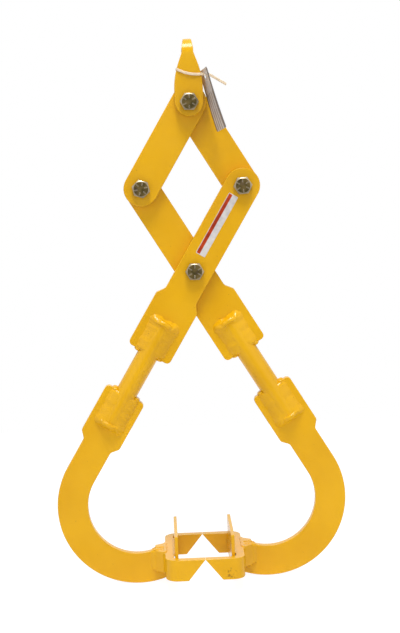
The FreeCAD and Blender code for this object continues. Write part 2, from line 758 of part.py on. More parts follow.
# Hang tag: a card with rounded corners, hung by its hole on the tie's tail
def make_hang_tag(tie_frame, tail_start, tail_depth):
    body = new_body("hang_tag_body")
    sketch = new_sketch(body, "outline", "XY_Plane")
    half = "dims.tag_width / 2"
    radius = "dims.tag_corner_radius"
    top = "dims.tag_hole_inset"
    bottom = "(dims.tag_hole_inset - dims.tag_length)"
    trace(sketch, [
        (f"{half} - {radius}", top, radius, -1),
        (half, f"{top} - {radius}"),
        (half, f"{bottom} + {radius}", radius, -1),
        (f"{half} - {radius}", bottom),
        (f"{radius} - {half}", bottom, radius, -1),
        (f"-{half}", f"{bottom} + {radius}"),
        (f"-{half}", f"{top} - {radius}", radius, -1),
        (f"{radius} - {half}", top),
    ])
    circle(sketch, "0", "0", "dims.tag_hole_diameter")
    pad(body, sketch, "dims.tag_thickness", "Symmetric")
    # The tail slants through the hole, and the hole's upper rim hangs just clear of its upper edge
    along = value("dims.tag_along_tail")
    sunk = value("dims.tag_along_tail * tan(dims.tie_tail_droop)")
    slant = "(dims.tie_tilt + dims.tie_tail_droop + dims.tag_lean)"
    tail_room = f"dims.tie_width / 2 / cos{slant} + dims.tag_thickness / 2 * tan{slant}"
    hang = value(f"dims.tag_hole_diameter / 2 - ({tail_room}) - dims.tie_clearance")
    on_tail = tie_frame.multVec(Vector(tail_start + along, tail_depth, -sunk))
    across = Rotation(Vector(0, 1, 0), UPRIGHT, Vector(1, 0, 0), "XYZ")
    tilted = Rotation(Vector(1, 0, 0), -value("dims.tag_tilt"))
    turned = Rotation(UPRIGHT, value("dims.tag_turn"))
    leaning = Rotation(Vector(0, 1, 0), -value("dims.tag_lean"))
    stance = leaning.multiply(turned).multiply(tilted).multiply(across)
    keep(body, "hang_tag", Placement(on_tail + stance.multVec(Vector(0, -hang, 0)), stance))


make_bail()

make_link("left_link", LINK_FRAME)
make_link("right_link", HALF_TURN.multiply(LINK_FRAME))

JAW_FRAME = Placement(JAW_BOTTOM, Rotation())
assembly_sides = (
    ("front", "left", -1, Placement(), LAYER_FRONT),
    ("rear", "right", 1, HALF_TURN, value("dims.layer_gap / 2")),
)
for layer, hand, side, facing, hook_front in assembly_sides:
    arm_frame = facing.multiply(ARM_FRAME)
    jaw_frame = facing.multiply(JAW_FRAME)
    plate = make_arm_plate(f"{layer}_arm_plate", arm_frame)
    hook = make_hook(f"{hand}_hook", arm_frame)
    bar = make_bar(f"{layer}_splice_bar", arm_frame)
    make_bar_welds(f"{layer}_arm_welds", arm_frame, plate, hook, bar)
    jaw = make_jaw(f"{hand}_jaw", jaw_frame)
    stop_plate = make_stop_plate(f"{hand}_stop_plate", jaw_frame)
    make_gussets(f"{hand}_jaw_gussets", side, hook_front)
    make_stop_welds(f"{hand}_jaw_welds", jaw_frame, jaw, stop_plate)

# Head bearing face, grip between head and nut, and how far head and nut are turned, for each pivot.
# The heads' turns are read from the photograph, the nuts' are as they happened to be tightened.
PLATES_GRIP = "2 * dims.plate_thickness + 2 * dims.layer_gap"
BAIL_GRIP = f"{BAIL_GAP} + 2 * dims.bail_thickness + 2 * dims.layer_gap"
MIRROR_SIDE = Vector(-SIDE_PIVOT.x, SIDE_PIVOT.y, SIDE_PIVOT.z)
pivots = (
    ("top", TOP_PIVOT, -value(f"({BAIL_GRIP}) / 2"), BAIL_GRIP, 2.0, 20.0),
    ("left", MIRROR_SIDE, LAYER_FRONT, PLATES_GRIP, 17.0, 5.0),
    ("right", SIDE_PIVOT, LAYER_FRONT, PLATES_GRIP, -4.0, 40.0),
    ("centre", CENTRE_PIVOT, LAYER_FRONT, PLATES_GRIP, 1.0, 12.0),
)
for name, pivot, bearing, grip, head_turn, nut_turn in pivots:
    make_bolt(f"{name}_bolt", pivot, bearing, grip, head_turn)
    make_nut(f"{name}_nut", pivot, bearing + value(grip), nut_turn)

make_decal()
make_hang_tag(*make_cable_tie())

doc.recompute()
for item in doc.Objects:
    if "Invalid" in item.State or "Error" in item.State:
        raise RuntimeError(f"{item.Name} failed: {item.State}")
for sub_part in sub_parts:
    if sub_part.Shape.isNull() or not sub_part.Shape.isValid():
        raise RuntimeError(f"{sub_part.Label} has no valid shape")

os.makedirs("parts", exist_ok=True)
for sub_part in sub_parts:
    sub_part.Shape.exportStep(os.path.join("parts", f"{sub_part.Label}.step"))
    box = sub_part.Shape.BoundBox
    print(f"{sub_part.Label}: {len(sub_part.Shape.Solids)} solid, {sub_part.Shape.Volume:.0f} mm3,",
          f"x {box.XMin:.1f} {box.XMax:.1f} y {box.YMin:.1f} {box.YMax:.1f} z {box.ZMin:.1f} {box.ZMax:.1f}")
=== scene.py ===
from math import atan2, cos, exp, hypot, pi, radians, sin, sqrt, tan

import bpy
from mathutils import Matrix, Vector


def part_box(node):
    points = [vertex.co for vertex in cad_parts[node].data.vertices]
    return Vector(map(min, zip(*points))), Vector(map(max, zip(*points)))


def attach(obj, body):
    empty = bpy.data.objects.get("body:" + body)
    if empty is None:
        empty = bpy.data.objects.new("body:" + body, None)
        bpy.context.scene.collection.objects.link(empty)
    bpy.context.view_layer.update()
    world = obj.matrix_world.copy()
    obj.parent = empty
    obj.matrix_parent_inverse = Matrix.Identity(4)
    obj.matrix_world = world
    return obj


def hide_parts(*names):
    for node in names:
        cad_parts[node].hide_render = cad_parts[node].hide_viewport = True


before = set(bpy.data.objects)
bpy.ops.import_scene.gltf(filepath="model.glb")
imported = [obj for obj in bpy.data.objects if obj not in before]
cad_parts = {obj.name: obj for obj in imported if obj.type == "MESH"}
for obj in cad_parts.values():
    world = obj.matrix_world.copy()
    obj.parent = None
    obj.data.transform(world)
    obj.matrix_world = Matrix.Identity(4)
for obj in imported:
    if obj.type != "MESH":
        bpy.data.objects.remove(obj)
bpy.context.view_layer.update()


# Bail: one flat steel bar bent to a hairpin over the top pivot, drawn in to a narrow crown.
# Sprayed with the same gloss yellow enamel as the rest of the steel, edges eased by grinding.
# It hangs on the top bolt through the holes at its two leg ends.
MM = 0.001
BAIL_EDGE = 1.3 * MM
SMOOTH_LIMIT = radians(40)
SHARP_LIMIT = radians(32)
FLAT_LIMIT = radians(0.4)
SAME_POINT = 0.002 * MM
EDGE_SAMPLES = 6
PATCH_RANGE = (0.35, 0.65)
GLOSS_RANGE = (0.3, 0.7)


def srgb(red, green, blue):
    """A colour of 0 to 255 as the eye reads it, as the linear colour that a shader takes."""
    levels = []
    for level in (red, green, blue):
        share = level / 255
        levels.append(share / 12.92 if share <= 0.04045 else ((share + 0.055) / 1.055) ** 2.4)
    return (*levels, 1.0)


def add_object(name, data):
    """A new object in the scene."""
    added = bpy.data.objects.new(name, data)
    bpy.context.scene.collection.objects.link(added)
    return added


def pick_only(piece):
    """Selects one object, and makes it the active one."""
    bpy.ops.object.select_all(action="DESELECT")
    piece.select_set(True)
    bpy.context.view_layer.objects.active = piece


def edit_whole(piece):
    """Opens a piece in edit mode with all of it selected."""
    pick_only(piece)
    bpy.ops.object.mode_set(mode="EDIT")
    bpy.ops.mesh.select_all(action="SELECT")


def end_edit():
    """Leaves edit mode."""
    bpy.ops.object.mode_set(mode="OBJECT")


def apply_modifiers(piece):
    """Makes every modifier of a piece part of its mesh."""
    pick_only(piece)
    for modifier in list(piece.modifiers):
        bpy.ops.object.modifier_apply(modifier=modifier.name)


def ease_edges(piece, radius, segments=3):
    """Rounds off every sharp edge and keeps the broad faces flat."""
    pick_only(piece)
    bpy.ops.object.shade_smooth()
    bevel = piece.modifiers.new("eased_edges", "BEVEL")
    bevel.width = radius
    bevel.segments = segments
    bevel.limit_method = "ANGLE"
    bevel.angle_limit = SHARP_LIMIT
    bevel.harden_normals = True
    bevel.use_clamp_overlap = True
    apply_modifiers(piece)


def copy_solid(node, piece_name):
    """A copy of one solid of the frame with a mesh of its own, joined to whole faces."""
    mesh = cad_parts[node].data.copy()
    mesh.materials.clear()
    piece = add_object(piece_name, mesh)
    edit_whole(piece)
    bpy.ops.mesh.remove_doubles(threshold=SAME_POINT)
    bpy.ops.mesh.customdata_custom_splitnormals_clear()
    bpy.ops.mesh.dissolve_limited(angle_limit=FLAT_LIMIT)
    end_edit()
    return piece


def finish_piece(piece, body, slot, material, *nodes):
    """Gives a piece its finish and its body, and hides the solids that it stands for."""
    piece.data.materials.clear()
    piece.data.materials.append(material)
    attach(piece, body)
    if nodes:
        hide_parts(*nodes)


def grain(tree, place, scale, detail=2.0, roughness=0.5):
    """Noise over the piece's own coordinates."""
    noise = tree.nodes.new("ShaderNodeTexNoise")
    noise.inputs["Scale"].default_value = scale
    noise.inputs["Detail"].default_value = detail
    noise.inputs["Roughness"].default_value = roughness
    tree.links.new(place, noise.inputs["Vector"])
    return noise.outputs["Fac"]


def remap(tree, source, low, high, to_low, to_high):
    """Spreads a value from one range to another, held at the ends."""
    spread = tree.nodes.new("ShaderNodeMapRange")
    spread.inputs["From Min"].default_value = low
    spread.inputs["From Max"].default_value = high
    spread.inputs["To Min"].default_value = to_low
    spread.inputs["To Max"].default_value = to_high
    tree.links.new(source, spread.inputs["Value"])
    return spread.outputs["Result"]


def clouds(tree, place, scale, detail):
    """Soft patches over a piece, from 0 to 1."""
    return remap(tree, grain(tree, place, scale, detail), *PATCH_RANGE, 0, 1)


def vary_gloss(tree, shader, place, scale, detail, glossy, dull):
    """Lets a finish wander between two roughnesses."""
    rough = remap(tree, grain(tree, place, scale, detail), *GLOSS_RANGE, glossy, dull)
    tree.links.new(rough, shader.inputs["Roughness"])


def reckon(tree, operation, first, second=None):
    """One sum on a node's output and, where it takes two, on a second output or a plain number."""
    step = tree.nodes.new("ShaderNodeMath")
    step.operation = operation
    tree.links.new(first, step.inputs[0])
    if isinstance(second, float):
        step.inputs[1].default_value = second
    elif second is not None:
        tree.links.new(second, step.inputs[1])
    return step.outputs["Value"]


def times(tree, first, second):
    """The product of two outputs."""
    return reckon(tree, "MULTIPLY", first, second)


def split_axes(tree, vector):
    """The X, Y and Z of a vector, as outputs under these names."""
    split = tree.nodes.new("ShaderNodeSeparateXYZ")
    tree.links.new(vector, split.inputs["Vector"])
    return split.outputs


def blend_colours(tree, share, first, second):
    """Mixes two colours by a share; each is a colour or another node's output."""
    mix = tree.nodes.new("ShaderNodeMix")
    mix.data_type = "RGBA"
    tree.links.new(share, mix.inputs["Factor"])
    for socket, colour in (("A", first), ("B", second)):
        entry = next(s for s in mix.inputs if s.name == socket and s.type == "RGBA")
        if isinstance(colour, tuple):
            entry.default_value = colour
        else:
            tree.links.new(colour, entry)
    return next(s for s in mix.outputs if s.type == "RGBA")


def raise_surface(tree, height, depth, strength, under=None):
    """Bump of a given depth in metres, laid on top of another bump where there is one."""
    bump = tree.nodes.new("ShaderNodeBump")
    bump.inputs["Strength"].default_value = strength
    bump.inputs["Distance"].default_value = depth
    tree.links.new(height, bump.inputs["Height"])
    if under is not None:
        tree.links.new(under, bump.inputs["Normal"])
    return bump.outputs["Normal"]


def raise_grain(tree, place, scale, depth, strength, detail=2, under=None):
    """Bump that follows noise."""
    return raise_surface(tree, grain(tree, place, scale, detail), depth, strength, under)


def edge_share(tree, radius, low, high):
    """How close a point is to an eased edge: 0 on broad faces, 1 on the edge itself."""
    rounded = tree.nodes.new("ShaderNodeBevel")
    rounded.samples = EDGE_SAMPLES
    rounded.inputs["Radius"].default_value = radius
    plain = tree.nodes.new("ShaderNodeNewGeometry")
    alike = tree.nodes.new("ShaderNodeVectorMath")
    alike.operation = "DOT_PRODUCT"
    tree.links.new(rounded.outputs["Normal"], alike.inputs[0])
    tree.links.new(plain.outputs["Normal"], alike.inputs[1])
    return remap(tree, alike.outputs["Value"], low, high, 1.0, 0.0)


def start_material(name):
    """A new node material: its tree, its shader and its Object coordinates."""
    material = bpy.data.materials.new(name)
    material.use_nodes = True
    tree = material.node_tree
    shader = tree.nodes["Principled BSDF"]
    place = tree.nodes.new("ShaderNodeTexCoord").outputs["Object"]
    return material, tree, shader, place


ENAMEL_DEEP = srgb(222, 165, 8)
ENAMEL_BRIGHT = srgb(230, 174, 14)
ENAMEL_THIN = srgb(240, 190, 52)
ENAMEL_SHINE = 0.35
GRIME = srgb(132, 88, 22)
THIN_REACH = 2.2 * MM
THIN_RANGE = (0.9, 0.985)
BROKEN_RANGE = (0.42, 0.62)
BROKEN_SHARES = (0.15, 0.8)
SPECK_RANGE = (0.71, 0.76)
SPECK_SHARE = 0.5
SCUFF_REACH = 12 * MM
SCUFF_CORE = 0.2 * SCUFF_REACH
SCUFF_RANGE = (0.5, 0.6)
SCUFF_SHARE = 0.85
CUT_LINES_PER_METRE = 620
CUT_LINE_STRETCH = (1, 0.06, 1)
CUT_LINE_STRENGTH = 0.3
CUT_FACE_RANGE = (0.2, 0.5)


def yellow_enamel(name, scuff_at=None, drag_depth=0.0):
    """Sprayed gloss enamel: faint orange peel, uneven tone and gloss, thinner on edges.
    Flame-cut edges keep the drag lines of the torch under the paint."""
    material, tree, shader, place = start_material(name)
    tone = clouds(tree, place, scale=11, detail=3)
    colour = blend_colours(tree, tone, ENAMEL_DEEP, ENAMEL_BRIGHT)
    edge = edge_share(tree, THIN_REACH, *THIN_RANGE)
    broken = remap(tree, grain(tree, place, scale=130, detail=4), *BROKEN_RANGE, *BROKEN_SHARES)
    colour = blend_colours(tree, times(tree, edge, broken), colour, ENAMEL_THIN)
    specks = remap(tree, grain(tree, place, scale=310), *SPECK_RANGE, 0, SPECK_SHARE)
    colour = blend_colours(tree, specks, colour, GRIME)
    if scuff_at is not None:
        gap = tree.nodes.new("ShaderNodeVectorMath")
        gap.operation = "DISTANCE"
        gap.inputs[1].default_value = scuff_at
        tree.links.new(place, gap.inputs[0])
        near = remap(tree, gap.outputs["Value"], SCUFF_CORE, SCUFF_REACH, 1, 0)
        rubbed = grain(tree, place, scale=240, detail=5, roughness=0.65)
        marks = remap(tree, rubbed, *SCUFF_RANGE, 0, SCUFF_SHARE)
        colour = blend_colours(tree, times(tree, near, marks), colour, GRIME)
    tree.links.new(colour, shader.inputs["Base Color"])
    vary_gloss(tree, shader, place, scale=38, detail=4, glossy=0.15, dull=0.27)
    shader.inputs["Specular IOR Level"].default_value = ENAMEL_SHINE
    peel = raise_grain(tree, place, scale=620, depth=0.1 * MM, strength=0.2)
    surface = raise_grain(tree, place, scale=70, depth=0.5 * MM, strength=0.16, under=peel)
    if drag_depth:
        stretched = tree.nodes.new("ShaderNodeMapping")
        stretched.inputs["Scale"].default_value = CUT_LINE_STRETCH
        tree.links.new(place, stretched.inputs["Vector"])
        geometry = tree.nodes.new("ShaderNodeNewGeometry")
        facing = split_axes(tree, geometry.outputs["True Normal"])["Y"]
        cut_face = remap(tree, reckon(tree, "ABSOLUTE", facing), *CUT_FACE_RANGE, 1, 0)
        lines = grain(tree, stretched.outputs["Vector"], CUT_LINES_PER_METRE, detail=1)
        drag = times(tree, cut_face, lines)
        surface = raise_surface(tree, drag, drag_depth, CUT_LINE_STRENGTH, surface)
    tree.links.new(surface, shader.inputs["Normal"])
    return material


def paint_solid(node, body, edge, finish, segments=3, shape=None):
    """Eases the edges of one solid's copy, shapes it further where asked, and paints it."""
    piece = copy_solid(node, f"{node}_painted")
    ease_edges(piece, edge, segments)
    if shape:
        shape(piece)
    finish_piece(piece, body, "painted_steel", finish, node)


enamel = yellow_enamel("gloss_yellow_enamel")
paint_solid("bail", "bail", BAIL_EDGE, enamel)


# Links and arm plates: four flat bars flame-cut from the same plate, in two layers.
# The arms widen at the lower end to a tab that is slotted for the splice bar.
# All pivot on the hex bolts; paint runs over the ground edges.
PLATE_EDGE = 1.1 * MM
DRAG_DEPTH = 0.22 * MM
cut_enamel = yellow_enamel("gloss_yellow_enamel_on_cut_plate", drag_depth=DRAG_DEPTH)
for body in ("left_link", "right_link"):
    paint_solid(body, body, PLATE_EDGE, cut_enamel)
for body in ("front_arm", "rear_arm"):
    paint_solid(f"{body}_plate", body, PLATE_EDGE, cut_enamel)


# Splice bars: round steel bars that lie in the slots of arm and hook and join the two.
# Cut from bar stock with turned ends, welded in all round and painted over.
BAR_EDGE = 0.8 * MM
for layer in ("front", "rear"):
    paint_solid(f"{layer}_splice_bar", f"{layer}_arm", BAR_EDGE, enamel, segments=2)


# Hooks: C-shaped plates below the splice bars, flame-cut, one in each layer.
# Each carries its jaw on the end face of the strip.
sides = (("left", "front_arm"), ("right", "rear_arm"))
for hand, body in sides:
    paint_solid(f"{hand}_hook", body, PLATE_EDGE, cut_enamel)


# Jaws: plate bent to a U that opens towards the other jaw, leg ends cut back to a V.
# A thin stop plate stands inside each, and two gusset blocks stiffen the joint with the hook.
# All are welded; the right jaw's front face has the scuff of handling.
JAW_EDGE = 0.7 * MM
STOP_EDGE = 0.7 * MM
GUSSET_EDGE = 1.0 * MM
TIP_REACH = 3 * MM
TIP_GAP = 0.1 * MM
TIP_CRISPNESS = 0.55
RIGHT_SCUFF = (0.0365, -0.0762, -0.7625)
scuffed = yellow_enamel("gloss_yellow_enamel_scuffed", RIGHT_SCUFF)


def draw_out_tips(jaw):
    """Draws the eased leg tips out again, until they all but touch the other jaw's."""
    blunt = min(abs(vertex.co.x) for vertex in jaw.data.vertices)
    for vertex in jaw.data.vertices:
        out = abs(vertex.co.x)
        if out < TIP_REACH:
            vertex.co.x *= (TIP_GAP + (out - blunt) * TIP_CRISPNESS) / out


for hand, body in sides:
    jaw_finish = scuffed if hand == "right" else enamel
    paint_solid(f"{hand}_jaw", body, JAW_EDGE, jaw_finish, shape=draw_out_tips)
    paint_solid(f"{hand}_stop_plate", body, STOP_EDGE, enamel)
    paint_solid(f"{hand}_jaw_gussets", body, GUSSET_EDGE, enamel)


# Weld metal: fillets laid by hand round the sunk bar ends, fuller across them, with a knob of metal
# at each slot mouth. Short runs hold the gussets and stop plates, and a seam run closes the slot
# behind each stop plate. The ripples of every pass show through the paint.
PIVOT_DROP = -0.325892
HALF_ANGLE = radians(31.1)
FRONT_FACE = -12.9 * MM
REAR_FACE = -0.2 * MM
PLATE = 12.7 * MM
BAR_RADIUS = 15.875 * MM
BAR_AT_FACE = 14.55 * MM
SIDE_LEG = 7.6 * MM
END_LEG = 10.2 * MM
END_REACH = 6 * MM
MOUTH_TAPER = 5 * MM
LEAST_LEG = 0.03
TURN_RADIUS = 6 * MM
SIDE_BULGE = 0.3 * MM
END_BULGE = 1.0 * MM
RIPPLE_LENGTH = 3.0 * MM
RIPPLE_DEPTH = 0.22 * MM
RIPPLE_MEAN = 0.6
SOFT_RIPPLE = 0.09 * MM
CRESCENT = 1.6 * MM
WANDER = ((0.06, 3.7 * MM, 1.0), (0.04, 1.9 * MM, 2.1))
SKIRT_STEP = 0.6 * MM
SKIRT_SPREAD = 26 * MM
SKIRT_BEYOND = 14 * MM
SKIRT_SKIN = 1.2 * MM
BURIED = 0.9 * MM
WELD_LOWEST = -9 * MM
WELD_HIGHEST = 14 * MM
HALVINGS = 20


def bar_gap(inward, across, height):
    """Distance to the bar's surface; inward counts from its end face, height from the plate's."""
    off_side = hypot(across, height + PLATE / 2) - BAR_RADIUS
    off_end = -inward
    outside = hypot(max(off_side, 0.0), max(off_end, 0.0))
    return outside + min(max(off_side, off_end), 0.0)


def weld_level(inward, across, leg):
    """Height of a flat fillet, where the distances to plate and bar add up to its leg."""
    low, high = WELD_LOWEST, WELD_HIGHEST
    for _ in range(HALVINGS):
        middle = (low + high) / 2
        if middle + bar_gap(inward, across, middle) < leg:
            low = middle
        else:
            high = middle
    return low


def seam_place(inward, across):
    """How far along the seam a point lies from the middle of the bar's end, and its share of
    the end run."""
    side = abs(across)
    if inward >= 0:
        along = BAR_AT_FACE + TURN_RADIUS * pi / 2 + inward
    elif side <= BAR_AT_FACE:
        along = side
    else:
        along = BAR_AT_FACE + TURN_RADIUS * atan2(side - BAR_AT_FACE, -inward)
    end_share = 1 - min(1.0, max(0.0, inward) / END_REACH)
    return along if across >= 0 else -along, end_share


def ripple(along, phase):
    """Height of the ripples about their mean, in shares of their depth."""
    return abs(sin(pi * along / RIPPLE_LENGTH + phase)) - RIPPLE_MEAN


def edit_some(piece, kind, wanted):
    """Opens a piece in edit mode with only the faces or edges selected that pass a test."""
    pick_only(piece)
    bpy.ops.object.mode_set(mode="EDIT")
    bpy.ops.mesh.select_mode(type=kind)
    bpy.ops.mesh.select_all(action="DESELECT")
    end_edit()
    for part in piece.data.polygons if kind == "FACE" else piece.data.edges:
        part.select = wanted(part)
    bpy.ops.object.mode_set(mode="EDIT")


def edge_span(piece, edge):
    """The way from one end of an edge to the other."""
    start, end = (piece.data.vertices[v].co for v in edge.vertices)
    return end - start


def bar_skirt(slot, phase):
    """The fillet round one sunk bar end, over a plate face at height 0.
    The bar's end face is at the origin, and its slot runs along +X."""
    reach = SKIRT_BEYOND + slot
    bpy.ops.mesh.primitive_grid_add(
        x_subdivisions=round(reach / SKIRT_STEP),
        y_subdivisions=round(2 * SKIRT_SPREAD / SKIRT_STEP),
        size=1,
    )
    skirt = bpy.context.object
    hidden = []
    for vertex in skirt.data.vertices:
        inward = (vertex.co.x + 0.5) * reach - SKIRT_BEYOND
        across = vertex.co.y * 2 * SKIRT_SPREAD
        along, end_share = seam_place(inward, across)
        uneven = 1 + sum(share * sin(along / wave + pace * phase) for share, wave, pace in WANDER)
        run_out = 1 - min(1.0, max(0.0, (slot - inward) / MOUTH_TAPER))
        taper = max(LEAST_LEG, sqrt(1 - run_out ** 2))
        leg = uneven * (SIDE_LEG + (END_LEG - SIDE_LEG) * end_share) * taper
        height = weld_level(inward, across, leg)
        off_bar = bar_gap(inward, across, height)
        middle = max(0.0, 1 - ((height - off_bar) / leg) ** 2)
        bulge = SIDE_BULGE + (END_BULGE - SIDE_BULGE) * end_share
        lift = RIPPLE_DEPTH * ripple(along + CRESCENT * middle, phase)
        vertex.co = (inward, across, height + middle * (bulge + lift))
        hidden.append(min(height, off_bar) < -BURIED)
    edit_some(skirt, "FACE", lambda face: all(hidden[v] for v in face.vertices))
    bpy.ops.mesh.delete(type="FACE")
    end_edit()
    skin = skirt.modifiers.new("skin", "SOLIDIFY")
    skin.thickness = SKIRT_SKIN
    skin.offset = -1
    apply_modifiers(skirt)
    return skirt


KNOB_OUT = 3.6 * MM
KNOB_WIDE = 5.6 * MM
KNOB_PROUD = 3.0 * MM
KNOB_OFF = BAR_RADIUS + 1.4 * MM
KNOB_LUMP_ALONG = 0.07
KNOB_LUMP_UP = 0.06
KNOB_WAVES_ALONG = 4
KNOB_WAVES_UP = 5


def mouth_knob(phase):
    """The lump where the side runs meet at a slot mouth, centred on the plate's thickness."""
    bpy.ops.mesh.primitive_uv_sphere_add(segments=28, ring_count=18, radius=1)
    knob = bpy.context.object
    half_height = PLATE / 2 + KNOB_PROUD
    for vertex in knob.data.vertices:
        x, y, z = vertex.co
        swell = 1 + KNOB_LUMP_ALONG * sin(KNOB_WAVES_ALONG * x + phase)
        swell += KNOB_LUMP_UP * sin(KNOB_WAVES_UP * z + 2 * phase)
        vertex.co = (KNOB_OUT * x * swell, KNOB_WIDE * y * swell, half_height * z * swell)
    return knob


def set_piece(piece, matrix):
    """Lays a modelled piece in its place by moving its mesh."""
    piece.data.transform(matrix)
    piece.data.update()


def copy_piece(piece, matrix):
    """A copy with a mesh of its own, laid in its place."""
    twin = add_object(piece.name, piece.data.copy())
    set_piece(twin, matrix)
    return twin


def join_pieces(parts, name):
    """Joins several parts to one piece."""
    bpy.ops.object.select_all(action="DESELECT")
    for part in parts:
        part.select_set(True)
    bpy.context.view_layer.objects.active = parts[0]
    bpy.ops.object.join()
    piece = bpy.context.object
    piece.name = name
    piece.data.name = name
    return piece


def tidy_normals(piece, same_point=0.001 * MM, close=False):
    """Merges doubled points, closes open ends where asked, and turns every face outwards."""
    edit_whole(piece)
    bpy.ops.mesh.remove_doubles(threshold=same_point)
    if close:
        bpy.ops.mesh.fill_holes(sides=0)
    bpy.ops.mesh.normals_make_consistent(inside=False)
    end_edit()


def finish_welds(parts, name, body, node):
    """Joins the runs of one arm or jaw, and smooths them over."""
    welds = join_pieces(parts, name)
    tidy_normals(welds)
    bpy.ops.object.shade_smooth_by_angle(angle=SMOOTH_LIMIT)
    finish_piece(welds, body, "painted_steel", enamel, node)


left, right = Vector((-1, 0, 0)), Vector((1, 0, 0))
front, rear = Vector((0, -1, 0)), Vector((0, 1, 0))
down, up = Vector((0, 0, -1)), Vector((0, 0, 1))
arm_down = Vector((-sin(HALF_ANGLE), 0, -cos(HALF_ANGLE)))
arm_out = Vector((-cos(HALF_ANGLE), 0, sin(HALF_ANGLE)))
arm_frame = Matrix((arm_down, arm_out, rear)).transposed().to_4x4()
arm_frame.translation = Vector((0, FRONT_FACE, PIVOT_DROP))
half_turn = Matrix.Rotation(pi, 4, "Z")

BEAD_SIDES = 20
BEAD_STEP = 0.65 * MM
BEAD_CRESCENT = 0.35
BEAD_DRIFT = 0.4 * MM
BEAD_DRIFT_LENGTH = 3 * MM
BEAD_DRIFT_PACE = 1.7
RUN_END = 4 * MM
LEAST_SWELL = 0.12
FILLET_TUCK = 0.8 * MM
FILLET_BULGE = 0.4 * MM
FILLET_CRESCENT = 1.2 * MM
FACE_SHARE = 0.65


def add_rod(sides, radius, length, middle=(0, 0, 0), turn=(0, 0, 0)):
    """A rod to be shaped further."""
    bpy.ops.mesh.primitive_cylinder_add(
        vertices=sides, radius=radius, depth=length, location=middle, rotation=turn,
    )
    bpy.ops.object.transform_apply()
    return bpy.context.object


def draw_run(length, section):
    """A run of weld along +X from the origin: a rod whose points go where section puts them.
    section takes the place along the run and a share of the way round the rod."""
    run = add_rod(BEAD_SIDES, 1, length, (length / 2, 0, 0), (0, pi / 2, 0))
    edit_some(run, "EDGE", lambda edge: abs(edge_span(run, edge).x) > length / 2)
    bpy.ops.mesh.subdivide(number_cuts=round(length / BEAD_STEP))
    end_edit()
    for vertex in run.data.vertices:
        round_share = (atan2(vertex.co.z, vertex.co.y) / (2 * pi)) % 1
        off_end = min(vertex.co.x, length - vertex.co.x)
        near_end = max(0.0, min(1.0, off_end / RUN_END))
        swell = max(LEAST_SWELL, sqrt(1 - (1 - near_end) ** 2))
        vertex.co.yz = swell * Vector(section(vertex.co.x, round_share))
    return run


def bead_run(length, half_width, height, phase, ripple_depth=RIPPLE_DEPTH):
    """A low bead over a flat or narrow seam, its crown towards +Z."""
    def section(along, round_share):
        angle = 2 * pi * round_share
        crescent = along + BEAD_CRESCENT * half_width * cos(angle) ** 2
        lift = ripple_depth * ripple(crescent, phase)
        drift = BEAD_DRIFT * sin(along / BEAD_DRIFT_LENGTH + BEAD_DRIFT_PACE * phase)
        return half_width * cos(angle) + drift, (height + lift) * sin(angle)
    return draw_run(length, section)


def fillet_run(length, plate_leg, upright_leg, phase):
    """A fillet in the corner between a plate along +Y and an upright along +Z."""
    toe = Vector((plate_leg, -FILLET_TUCK))
    top = Vector((-FILLET_TUCK, upright_leg))
    root = Vector((-FILLET_TUCK, -FILLET_TUCK))
    proud = Vector((upright_leg, plate_leg)).normalized()

    def section(along, round_share):
        if round_share < FACE_SHARE:
            share = round_share / FACE_SHARE
            crescent = along + FILLET_CRESCENT * sin(pi * share)
            bulge = FILLET_BULGE + SOFT_RIPPLE * ripple(crescent, phase)
            return toe.lerp(top, share) + proud * sin(pi * share) * bulge
        share = 2 * (round_share - FACE_SHARE) / (1 - FACE_SHARE)
        return top.lerp(root, share) if share < 1 else root.lerp(toe, share - 1)
    return draw_run(length, section)


def lay_run(start, along, plate_way, upright_way):
    """The matrix that lays a run from a start point, given the three ways it faces."""
    lay = Matrix((along, plate_way, upright_way)).transposed().to_4x4()
    lay.translation = Vector(start)
    return lay


END_BEAD_HALF = 16 * MM
END_BEAD_WIDE = 4.4 * MM
END_BEAD_HIGH = 3.6 * MM
END_BEAD_SINK = 1.0 * MM
END_BEAD_LOW = 0.8 * MM
END_BEAD_BLEND = 3.0 * MM
END_BEAD_OUT = 1.4 * MM
END_BEAD_BOW = 1.6 * MM
END_BEAD_LEAN = Vector((-0.64, 0, 0.77))


def end_bead(phase):
    """The heavy bead over a bar's end edge: it follows the rim of the bar and runs out on the
    plate at both sides."""
    bead = bead_run(2 * END_BEAD_HALF, END_BEAD_WIDE, END_BEAD_HIGH, phase)
    start = (-END_BEAD_OUT, -END_BEAD_HALF, -END_BEAD_SINK)
    set_piece(bead, lay_run(start, rear, END_BEAD_LEAN.cross(rear), END_BEAD_LEAN))
    for vertex in bead.data.vertices:
        rim = sqrt(max(0.0, BAR_RADIUS ** 2 - vertex.co.y ** 2)) - PLATE / 2
        vertex.co.z += (rim + END_BEAD_LOW + hypot(rim - END_BEAD_LOW, END_BEAD_BLEND)) / 2
        vertex.co.x -= END_BEAD_BOW * (1 - (vertex.co.y / END_BEAD_HALF) ** 2)
    return bead


